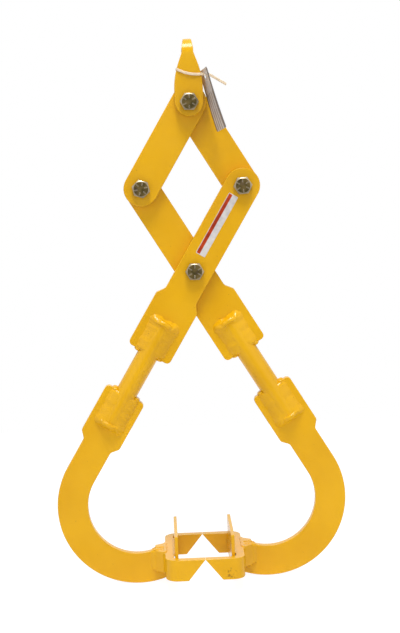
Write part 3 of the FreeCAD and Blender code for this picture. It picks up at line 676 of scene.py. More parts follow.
BAR_ENDS = (
    (92.0 * MM, 1, 47.5 * MM),
    (257.1 * MM, -1, 49.5 * MM),
)
SKIRT_PHASE = 40
BEAD_PHASE = 55
KNOB_PHASE = 30
to_front = Matrix.Scale(-1, 4, up)
to_rear = Matrix.Translation((0, 0, PLATE)) @ Matrix.Scale(-1, 4, rear)
front_parts = []
for bar_end, into_bar, slot in BAR_ENDS:
    inwards = Matrix.Translation((bar_end, 0, 0)) @ Matrix.Scale(into_bar, 4, right)
    skirt = bar_skirt(slot, 1.0 + bar_end * SKIRT_PHASE)
    bead = end_bead(bar_end * BEAD_PHASE)
    for part in (skirt, bead):
        for way in (to_front, to_rear):
            front_parts.append(copy_piece(part, arm_frame @ inwards @ way))
        bpy.data.objects.remove(part)
    for side in (-1, 1):
        knob = mouth_knob(2.0 * side + bar_end * KNOB_PHASE)
        at_mouth = Matrix.Translation((slot, side * KNOB_OFF, PLATE / 2))
        set_piece(knob, arm_frame @ inwards @ at_mouth)
        front_parts.append(knob)
rear_parts = [copy_piece(part, half_turn) for part in front_parts]
finish_welds(front_parts, "front_arm_welds_rippled", "front_arm", "front_arm_welds")
finish_welds(rear_parts, "rear_arm_welds_rippled", "rear_arm", "rear_arm_welds")

JAW_BOTTOM = -771.147 * MM
JAW_TOP = -739.947 * MM
JAW_HEIGHT = JAW_TOP - JAW_BOTTOM
WEB_FACE = -58.0 * MM
GUSSET_END = -73.0 * MM
GUSSET = WEB_FACE - GUSSET_END
FRONT_ROOT = -30.9 * MM
REAR_ROOT = 23.8 * MM
FRONT_SLOPE = (-0.756, 0.655, 0)
REAR_SLOPE = (-0.832, -0.555, 0)
STOP_SEAM_X = 42.9 * MM
STOP_SEAM_Y = 61.9 * MM
STOP_SEAM_BEAD = 3.6 * MM
STOP_RUN_X = 44.5 * MM
STOP_RUN_HALF = 48 * MM
STOP_RUN_WIDE = 2.3 * MM
STOP_RUN_HIGH = 1.5 * MM
STOP_RUN_SINK = 0.6 * MM
TOP_RUN_HIGH = 1.3 * MM
FRONT_OVERRUN = 3 * MM
REAR_OVERRUN = 1 * MM
LAYER_STEP = 13.1 * MM
stop_parts = []
for end in (-1, 1):
    run = bead_run(JAW_HEIGHT, STOP_SEAM_BEAD, STOP_SEAM_BEAD, 1.3 + end)
    set_piece(run, lay_run((-STOP_SEAM_X, end * STOP_SEAM_Y, JAW_BOTTOM), up, rear, left))
    stop_parts.append(run)
run = bead_run(2 * STOP_RUN_HALF, STOP_RUN_WIDE, STOP_RUN_HIGH, 0.4, SOFT_RIPPLE)
run_start = (-STOP_RUN_X, -STOP_RUN_HALF, JAW_TOP - STOP_RUN_SINK)
set_piece(run, lay_run(run_start, rear, right, up))
stop_parts.append(run)
gusset_runs = (
    (JAW_HEIGHT, 7.5, 5.2, (GUSSET_END, FRONT_FACE, JAW_BOTTOM), up, left, front),
    (JAW_HEIGHT, 6.0, 7.0, (GUSSET_END, REAR_FACE, JAW_BOTTOM), up, left, rear),
    (GUSSET, 5.0, 5.0, (GUSSET_END, FRONT_FACE, JAW_BOTTOM), right, down, front),
    (GUSSET, 5.0, 6.0, (GUSSET_END, REAR_FACE, JAW_BOTTOM), right, down, rear),
    (JAW_HEIGHT, 5.0, 5.0, (WEB_FACE, FRONT_ROOT, JAW_BOTTOM), up, front, FRONT_SLOPE),
    (JAW_HEIGHT, 5.0, 5.0, (WEB_FACE, REAR_ROOT, JAW_BOTTOM), up, rear, REAR_SLOPE),
)
gusset_parts = []
for length, plate_leg, upright_leg, start, along, plate_way, upright_way in gusset_runs:
    run = fillet_run(length, plate_leg * MM, upright_leg * MM, len(gusset_parts))
    set_piece(run, lay_run(start, along, plate_way, upright_way))
    gusset_parts.append(run)
top_runs = (
    (GUSSET + FRONT_OVERRUN, 2.6, (GUSSET_END - FRONT_OVERRUN, FRONT_FACE, JAW_TOP), right, front),
    (GUSSET + REAR_OVERRUN, 2.6, (GUSSET_END - REAR_OVERRUN, REAR_FACE, JAW_TOP), right, front),
    (REAR_ROOT - FRONT_ROOT, 2.8, (WEB_FACE, FRONT_ROOT, JAW_TOP), rear, right),
)
for length, half_width, start, along, sideways in top_runs:
    run = bead_run(length, half_width * MM, TOP_RUN_HIGH, 2.0 + len(gusset_parts), SOFT_RIPPLE)
    set_piece(run, lay_run(start, along, sideways, up))
    gusset_parts.append(run)
mirror = Matrix.Scale(-1, 4, right)
rear_mirror = Matrix.Translation((0, LAYER_STEP, 0)) @ mirror
right_parts = [copy_piece(part, mirror) for part in stop_parts]
right_parts += [copy_piece(part, rear_mirror) for part in gusset_parts]
finish_welds(stop_parts + gusset_parts, "left_jaw_welds_rippled", "front_arm", "left_jaw_welds")
finish_welds(right_parts, "right_jaw_welds_rippled", "rear_arm", "right_jaw_welds")


# Pivot bolts: forged hex bolts with six raised radial strength marks on the head.
# Yellow-passivated zinc; the rolled thread stands out of the nut at the back.
BOLT_RADIUS = 7.9375 * MM
THREAD_PITCH = 2.309 * MM
THREAD_ROOT = 6.75 * MM
THREAD_CREST = 0.32 * MM
THREAD_SUNK = 0.3 * MM
THREAD_PARTING = 0.02 * MM
THREAD_TURNS = 3
THREAD_STEPS = 40
THREAD_END_CUT = 1.5 * MM
THREAD_SHORT_OF_END = 0.05 * MM
THREAD_SMOOTH = radians(25)
CORE_EDGE = 0.5 * MM
HEX_EDGE = 0.35 * MM
MARK_LENGTH = 4.6 * MM
MARK_WIDTH = 1.0 * MM
MARK_HEIGHT = 0.45 * MM
MARK_MIDDLE = 7.4 * MM
MARK_EDGE = 0.3 * MM
MARK_COUNT = 6
FIRST_MARK = 30
STANDOUT = 4.0 * MM
CUT_IN_NUT = 2.0 * MM
HEAD_DISC = 10.5 * MM
CHAMFER_SLOPE = 1.45
CHAMFER_DEPTH = 70 * MM
CHAMFER_STEPS = 96
CHAMFER_OFF_FACE = 0.01 * MM

ZINC_STRAW = srgb(152, 130, 80)
ZINC_OLIVE = srgb(104, 92, 54)
ZINC_VIOLET = srgb(122, 98, 98)
# pale bare zinc for worn corners, also laid on the head's chamfer as a painted highlight
ZINC_BARE_AND_HIGHLIGHT = srgb(226, 212, 190)
ZINC_METAL = 0.85
BLOOM_RANGE = (0.55, 0.75)
BLOOM_SHARE = 0.7
BARE_REACH = 0.7 * MM
BARE_RANGE = (0.9, 0.995)
CHAMFER_FROM = (-0.95, -0.88)
CHAMFER_TO = (-0.6, -0.45)
CHAMFER_HIGHLIGHT_SHARE = 0.4


def yellow_zinc(name):
    """Passivated zinc: straw and olive with a violet bloom, bare on corners. The turned chamfer of
    the head is painted paler by the way it faces, as a painted highlight."""
    material, tree, shader, place = start_material(name)
    tone = clouds(tree, place, scale=160, detail=4)
    colour = blend_colours(tree, tone, ZINC_OLIVE, ZINC_STRAW)
    bloom = remap(tree, grain(tree, place, scale=90), *BLOOM_RANGE, 0, BLOOM_SHARE)
    colour = blend_colours(tree, bloom, colour, ZINC_VIOLET)
    edge = edge_share(tree, BARE_REACH, *BARE_RANGE)
    colour = blend_colours(tree, edge, colour, ZINC_BARE_AND_HIGHLIGHT)
    # painted highlight: facets facing part way off the head's face (the chamfer ring) get a share
    # of the pale colour in place of the light they catch
    geometry = tree.nodes.new("ShaderNodeNewGeometry")
    facing = split_axes(tree, geometry.outputs["Normal"])["Y"]
    off_face = remap(tree, facing, *CHAMFER_FROM, 0, 1)
    off_flat = remap(tree, facing, *CHAMFER_TO, CHAMFER_HIGHLIGHT_SHARE, 0)
    colour = blend_colours(tree, times(tree, off_face, off_flat), colour, ZINC_BARE_AND_HIGHLIGHT)
    tree.links.new(colour, shader.inputs["Base Color"])
    shader.inputs["Metallic"].default_value = ZINC_METAL
    vary_gloss(tree, shader, place, scale=420, detail=4, glossy=0.28, dull=0.5)
    pits = raise_grain(tree, place, scale=900, depth=0.08 * MM, strength=0.4, detail=3)
    tree.links.new(pits, shader.inputs["Normal"])
    return material


def thread_end():
    """The end of a bolt along +Y, its end face at the origin: thread root and one helical ridge."""
    reach = STANDOUT + CUT_IN_NUT + THREAD_PITCH
    core = add_rod(THREAD_STEPS, THREAD_ROOT, reach, (0, -reach / 2, 0), (pi / 2, 0, 0))
    ease_edges(core, CORE_EDGE, 2)
    bpy.ops.mesh.primitive_plane_add(size=1)
    ridge = bpy.context.object
    flank = THREAD_PITCH / 2 - THREAD_PARTING
    corners = (
        (THREAD_ROOT - THREAD_SUNK, -flank),
        (BOLT_RADIUS, -THREAD_CREST / 2),
        (BOLT_RADIUS, THREAD_CREST / 2),
        (THREAD_ROOT - THREAD_SUNK, flank),
    )
    order = ridge.data.polygons[0].vertices
    for vertex, (out, along) in zip(order, corners):
        ridge.data.vertices[vertex].co = (out, along - reach + THREAD_PITCH, 0)
    screw = ridge.modifiers.new("thread", "SCREW")
    screw.axis = "Y"
    screw.screw_offset = THREAD_PITCH
    screw.iterations = THREAD_TURNS
    screw.steps = THREAD_STEPS
    screw.render_steps = THREAD_STEPS
    apply_modifiers(ridge)
    edit_whole(ridge)
    bpy.ops.mesh.fill_holes(sides=4)
    end_edit()
    for vertex in ridge.data.vertices:
        out = hypot(vertex.co.x, vertex.co.z)
        allowed = BOLT_RADIUS - max(0.0, vertex.co.y + THREAD_END_CUT)
        vertex.co.y = min(vertex.co.y, -THREAD_SHORT_OF_END)
        if out > allowed:
            vertex.co.x *= allowed / out
            vertex.co.z *= allowed / out
    tidy_normals(ridge)
    bpy.ops.object.shade_smooth_by_angle(angle=THREAD_SMOOTH)
    return join_pieces([core, ridge], "thread_end")


def add_block(place, size):
    """A block to be shaped further."""
    bpy.ops.mesh.primitive_cube_add(size=1, location=place, scale=size)
    bpy.ops.object.transform_apply()
    return bpy.context.object


def head_mark():
    """One raised strength mark, along +X on a head that faces -Y at the origin."""
    mark = add_block((MARK_MIDDLE, 0, 0), (MARK_LENGTH, 2 * MARK_HEIGHT, MARK_WIDTH))
    ease_edges(mark, MARK_EDGE, 2)
    return mark


def cut_with(piece, tool, operation):
    """Cuts a piece with a tool, and takes the tool away."""
    cut = piece.modifiers.new("cut", "BOOLEAN")
    cut.operation = operation
    cut.object = tool
    apply_modifiers(piece)
    bpy.data.objects.remove(tool)


def chamfer_head(bolt, axis, face):
    """Turns the corners of the hex head down to a round disc."""
    bpy.ops.mesh.primitive_cone_add(
        vertices=CHAMFER_STEPS, depth=CHAMFER_DEPTH, rotation=(pi / 2, 0, 0),
        radius1=HEAD_DISC + CHAMFER_SLOPE * CHAMFER_DEPTH, radius2=HEAD_DISC,
        location=axis + Vector((0, face + CHAMFER_DEPTH / 2 + CHAMFER_OFF_FACE, 0)),
    )
    cut_with(bolt, bpy.context.object, "INTERSECT")


zinc = yellow_zinc("yellow_passivated_zinc")
thread_pattern = thread_end()
mark_pattern = head_mark()
pivots = (
    ("top", "top_pivot", 2),
    ("left", "left_link", 17),
    ("right", "front_arm", -4),
    ("centre", "front_arm", 1),
)
for pivot, body, turn in pivots:
    low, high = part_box(f"{pivot}_bolt")
    nut_low, nut_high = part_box(f"{pivot}_nut")
    axis = Vector(((nut_low.x + nut_high.x) / 2, 0, (nut_low.z + nut_high.z) / 2))
    bolt = copy_solid(f"{pivot}_bolt", f"{pivot}_bolt_shank")
    edit_whole(bolt)
    bpy.ops.mesh.bisect(
        plane_co=(0, nut_high.y - CUT_IN_NUT, 0), plane_no=(0, 1, 0),
        use_fill=True, clear_outer=True,
    )
    end_edit()
    chamfer_head(bolt, axis, low.y)
    ease_edges(bolt, HEX_EDGE, 2)
    at_end = Matrix.Translation(axis + Vector((0, high.y, 0)))
    on_head = Matrix.Translation(axis + Vector((0, low.y, 0)))
    parts = [bolt, copy_piece(thread_pattern, at_end)]
    for step in range(MARK_COUNT):
        spoke = Matrix.Rotation(radians(turn + FIRST_MARK + step * 360 / MARK_COUNT), 4, "Y")
        parts.append(copy_piece(mark_pattern, on_head @ spoke))
    bolt = join_pieces(parts, f"{pivot}_bolt_marked")
    finish_piece(bolt, body, "fasteners", zinc, f"{pivot}_bolt")
    nut = copy_solid(f"{pivot}_nut", f"{pivot}_nut_plated")
    ease_edges(nut, HEX_EDGE, 2)
    finish_piece(nut, body, "fasteners", zinc, f"{pivot}_nut")
bpy.data.objects.remove(thread_pattern)
bpy.data.objects.remove(mark_pattern)


# Label strip: thin printed film on the front arm between the two bolts, left blank.
# White with one plain orange-red band along its upper long side, corners rounded.
LABEL_CENTRE = 74.7 * MM
LABEL_OFFSET = 4.6 * MM
LABEL_LENGTH = 100 * MM
LABEL_WIDTH = 15 * MM
LABEL_FILM = 0.25 * MM
LABEL_CORNER = 1.2 * MM
LABEL_EDGE = 0.06 * MM
BAND_EDGE = 6.7 * MM
BAND_WIDTH = 5.2 * MM
BAND_END = 1.0 * MM
PRINT_BLUR = 0.12 * MM
LABEL_WHITE = srgb(218, 213, 210)
LABEL_GREY = srgb(196, 191, 190)
LABEL_SHINE = 0.25
BAND_RED = srgb(192, 62, 10)
BAND_DARK = srgb(156, 44, 6)


def axes_in_frame(tree, place, piece_frame):
    """The X, Y and Z of a point in a piece's own frame."""
    to_piece = tree.nodes.new("ShaderNodeMapping")
    to_piece.vector_type = "TEXTURE"
    to_piece.inputs["Location"].default_value = piece_frame.to_translation()
    to_piece.inputs["Rotation"].default_value = piece_frame.to_euler()
    tree.links.new(place, to_piece.inputs["Vector"])
    return split_axes(tree, to_piece.outputs["Vector"])


def step_at(tree, value, limit, blur, before, after):
    """A blurred step of a value at a limit."""
    return remap(tree, value, limit - blur, limit + blur, before, after)


def printed_label(name, film_frame):
    """White film with one plain band, a little faded and grimy."""
    material, tree, shader, place = start_material(name)
    axes = axes_in_frame(tree, place, film_frame)
    far = LABEL_LENGTH / 2 - BAND_END
    upper = step_at(tree, axes["Y"], BAND_EDGE, PRINT_BLUR, 1, 0)
    lower = step_at(tree, axes["Y"], BAND_EDGE - BAND_WIDTH, PRINT_BLUR, 0, 1)
    first = step_at(tree, axes["X"], -far, PRINT_BLUR, 0, 1)
    last = step_at(tree, axes["X"], far, PRINT_BLUR, 1, 0)
    band = times(tree, times(tree, upper, lower), times(tree, first, last))
    tone = clouds(tree, place, scale=120, detail=3)
    paper = blend_colours(tree, tone, LABEL_WHITE, LABEL_GREY)
    ink = blend_colours(tree, tone, BAND_RED, BAND_DARK)
    tree.links.new(blend_colours(tree, band, paper, ink), shader.inputs["Base Color"])
    vary_gloss(tree, shader, place, scale=60, detail=3, glossy=0.3, dull=0.45)
    shader.inputs["Specular IOR Level"].default_value = LABEL_SHINE
    dimples = raise_grain(tree, place, scale=260, depth=0.1 * MM, strength=0.3)
    tree.links.new(dimples, shader.inputs["Normal"])
    return material


label_frame = arm_frame @ Matrix.Translation((-LABEL_CENTRE, LABEL_OFFSET, -LABEL_FILM / 2))
label = add_block((0, 0, 0), (LABEL_LENGTH, LABEL_WIDTH, LABEL_FILM))
label.name = "blank_label"
edit_some(label, "EDGE", lambda edge: abs(edge_span(label, edge).z) > LABEL_FILM / 2)
bpy.ops.mesh.bevel(offset=LABEL_CORNER, segments=6)
end_edit()
ease_edges(label, LABEL_EDGE, 1)
set_piece(label, label_frame)
label_film = printed_label("blank_label_film", label_frame)
finish_piece(label, "front_arm", "decal", label_film, "decal")


# Cable tie: moulded nylon strap drawn round the bail's front leg and through the tag's hole.
# Its ratchet head sits behind the tag; the free tail runs on to the right and droops, toothed
# on its inner face.
TIE_CENTRE = Vector((0, -18.05 * MM, -38 * MM))
TIE_TILT = radians(13)
STRAP_THICK = 1.1 * MM
STRAP_WIDE = 3.4 * MM
STRAP_ROUNDED = 0.3 * MM
STRAP_SAME_POINT = 0.005 * MM
LEFT_X = 17.6 * MM
RIGHT_X = 19.4 * MM
LOOP_Y = 5.6 * MM
LOOP_CORNER = 2.2 * MM
HEAD_START = 26.9 * MM
HEAD_END = 29.7 * MM
HEAD_LOW = -6.9 * MM
HEAD_HIGH = -1.15 * MM
HEAD_WIDE = 4.6 * MM
OUTER_FACE = 0.9
HEAD_RIM = 0.7 * MM
HEAD_MOUTH = 0.8 * MM
HEAD_EDGE = 0.3 * MM
STRAP_ROOT = (
    (HEAD_START + 0.6 * MM, -4.2 * MM),
    (20.9 * MM, -0.9 * MM),
    (19.8 * MM, 0.4 * MM),
)
TAIL_LENGTH = 27.4 * MM
TAIL_DROOP = radians(18)
TAIL_STIFFNESS = 0.35
TAIL_STIFF_LENGTH = 6 * MM
FRONT_SAG = 3.0 * MM
FRONT_BOW = 0.9 * MM
LEVELLED = 0.6
TOOTH_PITCH = 1.1 * MM
TOOTH_SHARE = 0.55
TOOTH_HIGH = 0.35 * MM
TOOTH_MARGIN = 0.9 * MM
TOOTH_EDGE = 0.1 * MM
FIRST_TOOTH = 5 * MM
PLAIN_TAIL = 8 * MM
CORNER_POINTS = 6
FRONT_POINTS = 16
TAIL_POINTS = 14
NYLON = srgb(242, 220, 188)
NYLON_SHADE = srgb(228, 206, 174)
NYLON_GLOW = 0.15
NYLON_GLOW_DEPTHS = (0.0012, 0.0010, 0.0008)


def natural_nylon(name):
    """Milky moulded nylon that lets a little light through."""
    material, tree, shader, place = start_material(name)
    tone = clouds(tree, place, scale=220, detail=3)
    tree.links.new(blend_colours(tree, tone, NYLON, NYLON_SHADE), shader.inputs["Base Color"])
    vary_gloss(tree, shader, place, scale=300, detail=3, glossy=0.32, dull=0.46)
    shader.inputs["Subsurface Weight"].default_value = NYLON_GLOW
    shader.inputs["Subsurface Radius"].default_value = NYLON_GLOW_DEPTHS
    skin = raise_grain(tree, place, scale=1100, depth=0.05 * MM, strength=0.4)
    tree.links.new(skin, shader.inputs["Normal"])
    return material


def strap_path():
    """The strap's middle line in the tie's own plane: from the head round the leg, through the
    head, and on."""
    points = list(STRAP_ROOT)
    turns = (
        (RIGHT_X - LOOP_CORNER, LOOP_Y - LOOP_CORNER, 0),
        (LOOP_CORNER - LEFT_X, LOOP_Y - LOOP_CORNER, 90),
        (LOOP_CORNER - LEFT_X, LOOP_CORNER - LOOP_Y, 180),
    )
    for centre_x, centre_y, start in turns:
        for step in range(CORNER_POINTS + 1):
            angle = radians(start + 90 * step / CORNER_POINTS)
            x, y = LOOP_CORNER * cos(angle), LOOP_CORNER * sin(angle)
            points.append((centre_x + x, centre_y + y))
    corner = LOOP_CORNER - LEFT_X
    runs = ((corner, HEAD_END - corner, FRONT_POINTS), (HEAD_END, TAIL_LENGTH, TAIL_POINTS))
    for first, length, count in runs:
        for step in range(1, count + 1):
            points.append((first + length * step / count, -LOOP_Y))
    return points


def bend_strap(piece):
    """Lets the front run sag a little off the leg, levels it past the leg, and droops the tail."""
    middle = (RIGHT_X - LEFT_X) / 2
    half = (RIGHT_X + LEFT_X) / 2
    for vertex in piece.data.vertices:
        share = 1 - ((vertex.co.x - middle) / half) ** 2
        if vertex.co.y < -LOOP_Y + 2 * STRAP_THICK and share > 0:
            vertex.co.y -= FRONT_BOW * share
            vertex.co.z -= FRONT_SAG * share
        off_leg = max(0.0, min(vertex.co.x, HEAD_END) - RIGHT_X)
        vertex.co.z += LEVELLED * off_leg * tan(TIE_TILT)
        past = vertex.co.x - HEAD_END
        if past > 0:
            give = 1 - TAIL_STIFFNESS * exp(-past / TAIL_STIFF_LENGTH)
            vertex.co.z -= past * tan(TAIL_DROOP) * give


line = bpy.data.curves.new("strap", "CURVE")
line.dimensions = "2D"
line.fill_mode = "NONE"
line.extrude = STRAP_WIDE / 2 - STRAP_ROUNDED
line.bevel_depth = STRAP_THICK / 2
line.bevel_resolution = 3
path = strap_path()
spline = line.splines.new("POLY")
spline.points.add(len(path) - 1)
for point, (x, y) in zip(spline.points, path):
    point.co = (x, y, 0, 1)
pick_only(add_object("strap", line))
bpy.ops.object.convert(target="MESH")
strap = bpy.context.object
tidy_normals(strap, STRAP_SAME_POINT, close=True)

teeth = add_block(
    (HEAD_END + FIRST_TOOTH, -LOOP_Y + STRAP_THICK / 2, 0),
    (TOOTH_SHARE * TOOTH_PITCH, TOOTH_HIGH, STRAP_WIDE - TOOTH_MARGIN),
)
ease_edges(teeth, TOOTH_EDGE, 1)
rows = teeth.modifiers.new("teeth", "ARRAY")
rows.count = int((TAIL_LENGTH - PLAIN_TAIL) / TOOTH_PITCH)
rows.use_relative_offset = False
rows.use_constant_offset = True
rows.constant_offset_displace = (TOOTH_PITCH, 0, 0)
apply_modifiers(teeth)

head = add_block(
    ((HEAD_START + HEAD_END) / 2, (HEAD_LOW + HEAD_HIGH) / 2, 0),
    (HEAD_END - HEAD_START, HEAD_HIGH - HEAD_LOW, HEAD_WIDE),
)
edit_some(head, "FACE", lambda face: face.normal.x > OUTER_FACE)
bpy.ops.mesh.inset(thickness=HEAD_RIM)
bpy.ops.mesh.extrude_region_move(TRANSFORM_OT_translate={"value": (-HEAD_MOUTH, 0, 0)})
end_edit()
ease_edges(head, HEAD_EDGE, 3)

tie = join_pieces([strap, teeth, head], "cable_tie_nylon")
bend_strap(tie)
pick_only(tie)
bpy.ops.object.shade_smooth_by_angle(angle=SMOOTH_LIMIT)
tie_frame = Matrix.Translation(TIE_CENTRE) @ Matrix.Rotation(TIE_TILT, 4, "Y")
set_piece(tie, tie_frame)
finish_piece(tie, "bail", "tie", natural_nylon("natural_nylon"), "cable_tie")


# Hang tag: a blank laminated card that hangs by its punched hole on the tie's tail.
# It is seen nearly edge-on beside the bail, curls and twists slightly, and has a plain grey
# border and blank ruled lines.
TAG_HOLE = Vector((23.9 * MM, -23.70 * MM, -45.4 * MM))
TAG_LEAN = radians(14.5)
TAG_TURN = radians(16)
TAG_TILT = radians(3.6)
TAG_TWIST = radians(3.5)
TAG_LENGTH = 90 * MM
TAG_WIDTH = 44 * MM
TAG_CARD = 0.8 * MM
TAG_CORNER = 3 * MM
TAG_EDGE = 0.15 * MM
TAG_HOLE_RADIUS = 4 * MM
PUNCH_SIDES = 32
PUNCH_DEPTH = 10 * TAG_CARD
TAG_TOP = 10 * MM
TAG_CURL = 3.2 * MM
TAG_ROWS = 14
BORDER = 4.5 * MM
BORDER_BLUR = 0.2 * MM
BORDER_INK = 0.8
RULE_PITCH = 9 * MM
RULE_SHARE = 0.34
RULE_BLUR = 0.1
RULE_INK = 0.6
RULED_BELOW = -24 * MM
RULED_BLUR = 1 * MM
CARD_PALE = srgb(224, 224, 228)
CARD_SHADE = srgb(208, 207, 211)
BORDER_GREY = srgb(84, 82, 86)


def laminated_card(name, card_frame):
    """Pale card under a clear film, with a plain border along its edges and blank ruled lines."""
    material, tree, shader, place = start_material(name)
    axes = axes_in_frame(tree, place, card_frame)
    off_middle = reckon(tree, "ABSOLUTE", axes["X"])
    border = step_at(tree, off_middle, TAG_WIDTH / 2 - BORDER, BORDER_BLUR, 0, BORDER_INK)
    tone = clouds(tree, place, scale=70, detail=4)
    card = blend_colours(tree, tone, CARD_PALE, CARD_SHADE)
    in_pitch = reckon(tree, "FRACT", reckon(tree, "DIVIDE", axes["X"], RULE_PITCH))
    rule = remap(tree, in_pitch, RULE_SHARE, RULE_SHARE + RULE_BLUR, RULE_INK, 0)
    ruled = remap(tree, axes["Y"], RULED_BELOW - RULED_BLUR, RULED_BELOW, 1, 0)
    card = blend_colours(tree, times(tree, rule, ruled), card, BORDER_GREY)
    tree.links.new(blend_colours(tree, border, card, BORDER_GREY), shader.inputs["Base Color"])
    vary_gloss(tree, shader, place, scale=90, detail=3, glossy=0.28, dull=0.42)
    fibres = raise_grain(tree, place, scale=500, depth=0.1 * MM, strength=0.3, detail=3)
    tree.links.new(fibres, shader.inputs["Normal"])
    return material


edge_on = Matrix(((0, 0, 1), (1, 0, 0), (0, 1, 0))).to_4x4()
lean = Matrix.Rotation(-TAG_LEAN, 4, "Y")
turn = Matrix.Rotation(TAG_TURN, 4, "Z")
tilt = Matrix.Rotation(-TAG_TILT, 4, "X")
tag_frame = Matrix.Translation(TAG_HOLE) @ lean @ turn @ tilt @ edge_on
bpy.ops.mesh.primitive_plane_add(size=1, location=(0, TAG_TOP - TAG_LENGTH / 2, 0))
tag = bpy.context.object
tag.name = "hang_tag_card"
tag.scale = (TAG_WIDTH, TAG_LENGTH, 1)
bpy.ops.object.transform_apply()
edit_whole(tag)
bpy.ops.mesh.bevel(offset=TAG_CORNER, segments=6, affect="VERTICES")
end_edit()
wall = tag.modifiers.new("card", "SOLIDIFY")
wall.thickness = TAG_CARD
wall.offset = 0
apply_modifiers(tag)
cut_with(tag, add_rod(PUNCH_SIDES, TAG_HOLE_RADIUS, PUNCH_DEPTH), "DIFFERENCE")
for row in range(1, TAG_ROWS):
    level = TAG_TOP - TAG_LENGTH * row / TAG_ROWS
    edit_whole(tag)
    bpy.ops.mesh.bisect(plane_co=(0, level, 0), plane_no=(0, 1, 0))
    end_edit()
ease_edges(tag, TAG_EDGE, 2)
for vertex in tag.data.vertices:
    below = max(0.0, -vertex.co.y) / (TAG_LENGTH - TAG_TOP)
    vertex.co.z += TAG_CURL * below * (below - 1)
    vertex.co.xz = Matrix.Rotation(TAG_TWIST * (1 - below), 2) @ Vector(vertex.co.xz)
set_piece(tag, tag_frame)
finish_piece(tag, "bail", "tag", laminated_card("blank_card", tag_frame), "hang_tag")


# Studio: a plain white floor under the hooks and a white room, both dim where the enamel would
# mirror them at the camera. One softbox above, one to each side, and two fills that gloss doesn't
# mirror. The camera stands where the photograph was taken from.
FLOOR_LEVEL = -0.7903
FLOOR_SIZE = 2.4
FLOOR_PAINT = srgb(244, 244, 244)
FLOOR_GLOW = 0.93
FLOOR_IN_GLOSS = 0.35
FLOOR_DIM_TO = -0.2
FLOOR_BRIGHT_FROM = 0.15
SHADOW_CATCH = (0.22, 0.22, 0.22, 1)
WHITE = (1, 1, 1, 1)


def light_path(tree, kind):
    """1 for one kind of ray, 0 for the others."""
    return tree.nodes.new("ShaderNodeLightPath").outputs[kind]


def seen_directly(tree):
    """1 for rays from the camera, from gloss and through glass, 0 for the light on the object."""
    seen = light_path(tree, "Is Camera Ray")
    for kind in ("Is Glossy Ray", "Is Transmission Ray"):
        seen = reckon(tree, "MAXIMUM", seen, light_path(tree, kind))
    return seen


def choose_shader(tree, unseen, seen, output):
    """Shows one shader to the rays that see it directly, and lights the object by the other."""
    choice = tree.nodes.new("ShaderNodeMixShader")
    tree.links.new(seen_directly(tree), choice.inputs["Fac"])
    tree.links.new(unseen, choice.inputs[1])
    tree.links.new(seen, choice.inputs[2])
    tree.links.new(choice.outputs["Shader"], tree.nodes[output].inputs["Surface"])


bpy.ops.mesh.primitive_plane_add(size=FLOOR_SIZE, location=(0, 0, FLOOR_LEVEL))
floor = bpy.context.object
floor.name = "studio_floor"
floor_paint = bpy.data.materials.new("studio_white")
floor_paint.use_nodes = True
tree = floor_paint.node_tree
tree.nodes.remove(tree.nodes["Principled BSDF"])
matt = tree.nodes.new("ShaderNodeBsdfDiffuse")
matt.inputs["Color"].default_value = FLOOR_PAINT
shadow_catch = tree.nodes.new("ShaderNodeBsdfDiffuse")
shadow_catch.inputs["Color"].default_value = SHADOW_CATCH
glow = tree.nodes.new("ShaderNodeEmission")
glow.inputs["Color"].default_value = WHITE
spot = split_axes(tree, tree.nodes.new("ShaderNodeTexCoord").outputs["Object"])
in_gloss = remap(tree, spot["Y"], FLOOR_DIM_TO, FLOOR_BRIGHT_FROM, FLOOR_IN_GLOSS, FLOOR_GLOW)
to_camera = remap(tree, light_path(tree, "Is Camera Ray"), 0, 1, 0, FLOOR_GLOW)
tree.links.new(reckon(tree, "MAXIMUM", in_gloss, to_camera), glow.inputs["Strength"])
white_floor = tree.nodes.new("ShaderNodeAddShader")
tree.links.new(shadow_catch.outputs["BSDF"], white_floor.inputs[0])
tree.links.new(glow.outputs["Emission"], white_floor.inputs[1])
choose_shader(tree, matt.outputs["BSDF"], white_floor.outputs["Shader"], "Material Output")
floor.data.materials.append(floor_paint)

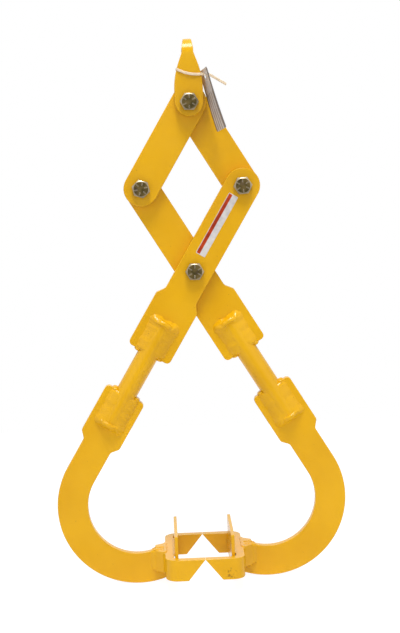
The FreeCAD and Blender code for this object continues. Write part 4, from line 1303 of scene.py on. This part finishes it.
AMBIENT = 0.34
ROOM_BEHIND_CAMERA = 0.25
ROOM_DIM_TO = -0.85
ROOM_WHITE_FROM = -0.1
world = bpy.data.worlds.new("studio")
bpy.context.scene.world = world
world.use_nodes = True
tree = world.node_tree
sky = tree.nodes["Background"]
sky.inputs["Color"].default_value = WHITE
sky.inputs["Strength"].default_value = AMBIENT
backdrop = tree.nodes.new("ShaderNodeBackground")
backdrop.inputs["Color"].default_value = WHITE
towards = split_axes(tree, tree.nodes.new("ShaderNodeTexCoord").outputs["Generated"])
room = remap(tree, towards["Y"], ROOM_DIM_TO, ROOM_WHITE_FROM, ROOM_BEHIND_CAMERA, 1.0)
room_seen = reckon(tree, "MAXIMUM", light_path(tree, "Is Camera Ray"), room)
tree.links.new(room_seen, backdrop.inputs["Strength"])
choose_shader(tree, sky.outputs["Background"], backdrop.outputs["Background"], "World Output")


def softbox(name, place, target, width, height, power, mirrored=True):
    """A rectangular lamp that faces its target; gloss mirrors it unless it is only a fill."""
    lamp = bpy.data.lights.new(name, "AREA")
    lamp.shape = "RECTANGLE"
    lamp.size = width
    lamp.size_y = height
    lamp.energy = power
    box = add_object(name, lamp)
    box.location = place
    box.rotation_euler = (Vector(target) - Vector(place)).to_track_quat("-Z", "Y").to_euler()
    box.visible_glossy = mirrored


softbox("softbox_above", (0, -1.25, 3.3), (0, 0, -0.2), 1.2, 1.5, 125)
softbox("softbox_left", (-2.5, -2.5, 0.2), (0, 0, -0.6), 2.8, 2.8, 15)
softbox("softbox_right", (2.5, -2.5, 0.2), (0, 0, -0.6), 2.8, 2.8, 14.5)
softbox("fill_front", (0, -3.2, 0.5), (0, 0, -0.45), 2.0, 2.0, 14, mirrored=False)
softbox("fill_rear", (0, 3.0, 0.9), (0, 0, -0.4), 2.0, 2.0, 22, mirrored=False)

CAMERA_PLACE = (-0.0517, -2.0609, -0.1591)
CAMERA_RIGHT = (0.998943, -0.031695, -0.033288)
CAMERA_UP = (0.036650, 0.112157, 0.993010)
CAMERA_BACK = (-0.02774, -0.99318, 0.11320)
FOCAL_LENGTH = 80.02
SENSOR_WIDTH = 36
lens = bpy.data.cameras.new("camera")
lens.lens = FOCAL_LENGTH
lens.sensor_width = SENSOR_WIDTH
camera = add_object("camera", lens)
stance = Matrix((CAMERA_RIGHT, CAMERA_UP, CAMERA_BACK)).transposed().to_4x4()
stance.translation = Vector(CAMERA_PLACE)
camera.matrix_world = stance
bpy.context.scene.camera = camera
bpy.context.scene.view_settings.view_transform = "Standard"
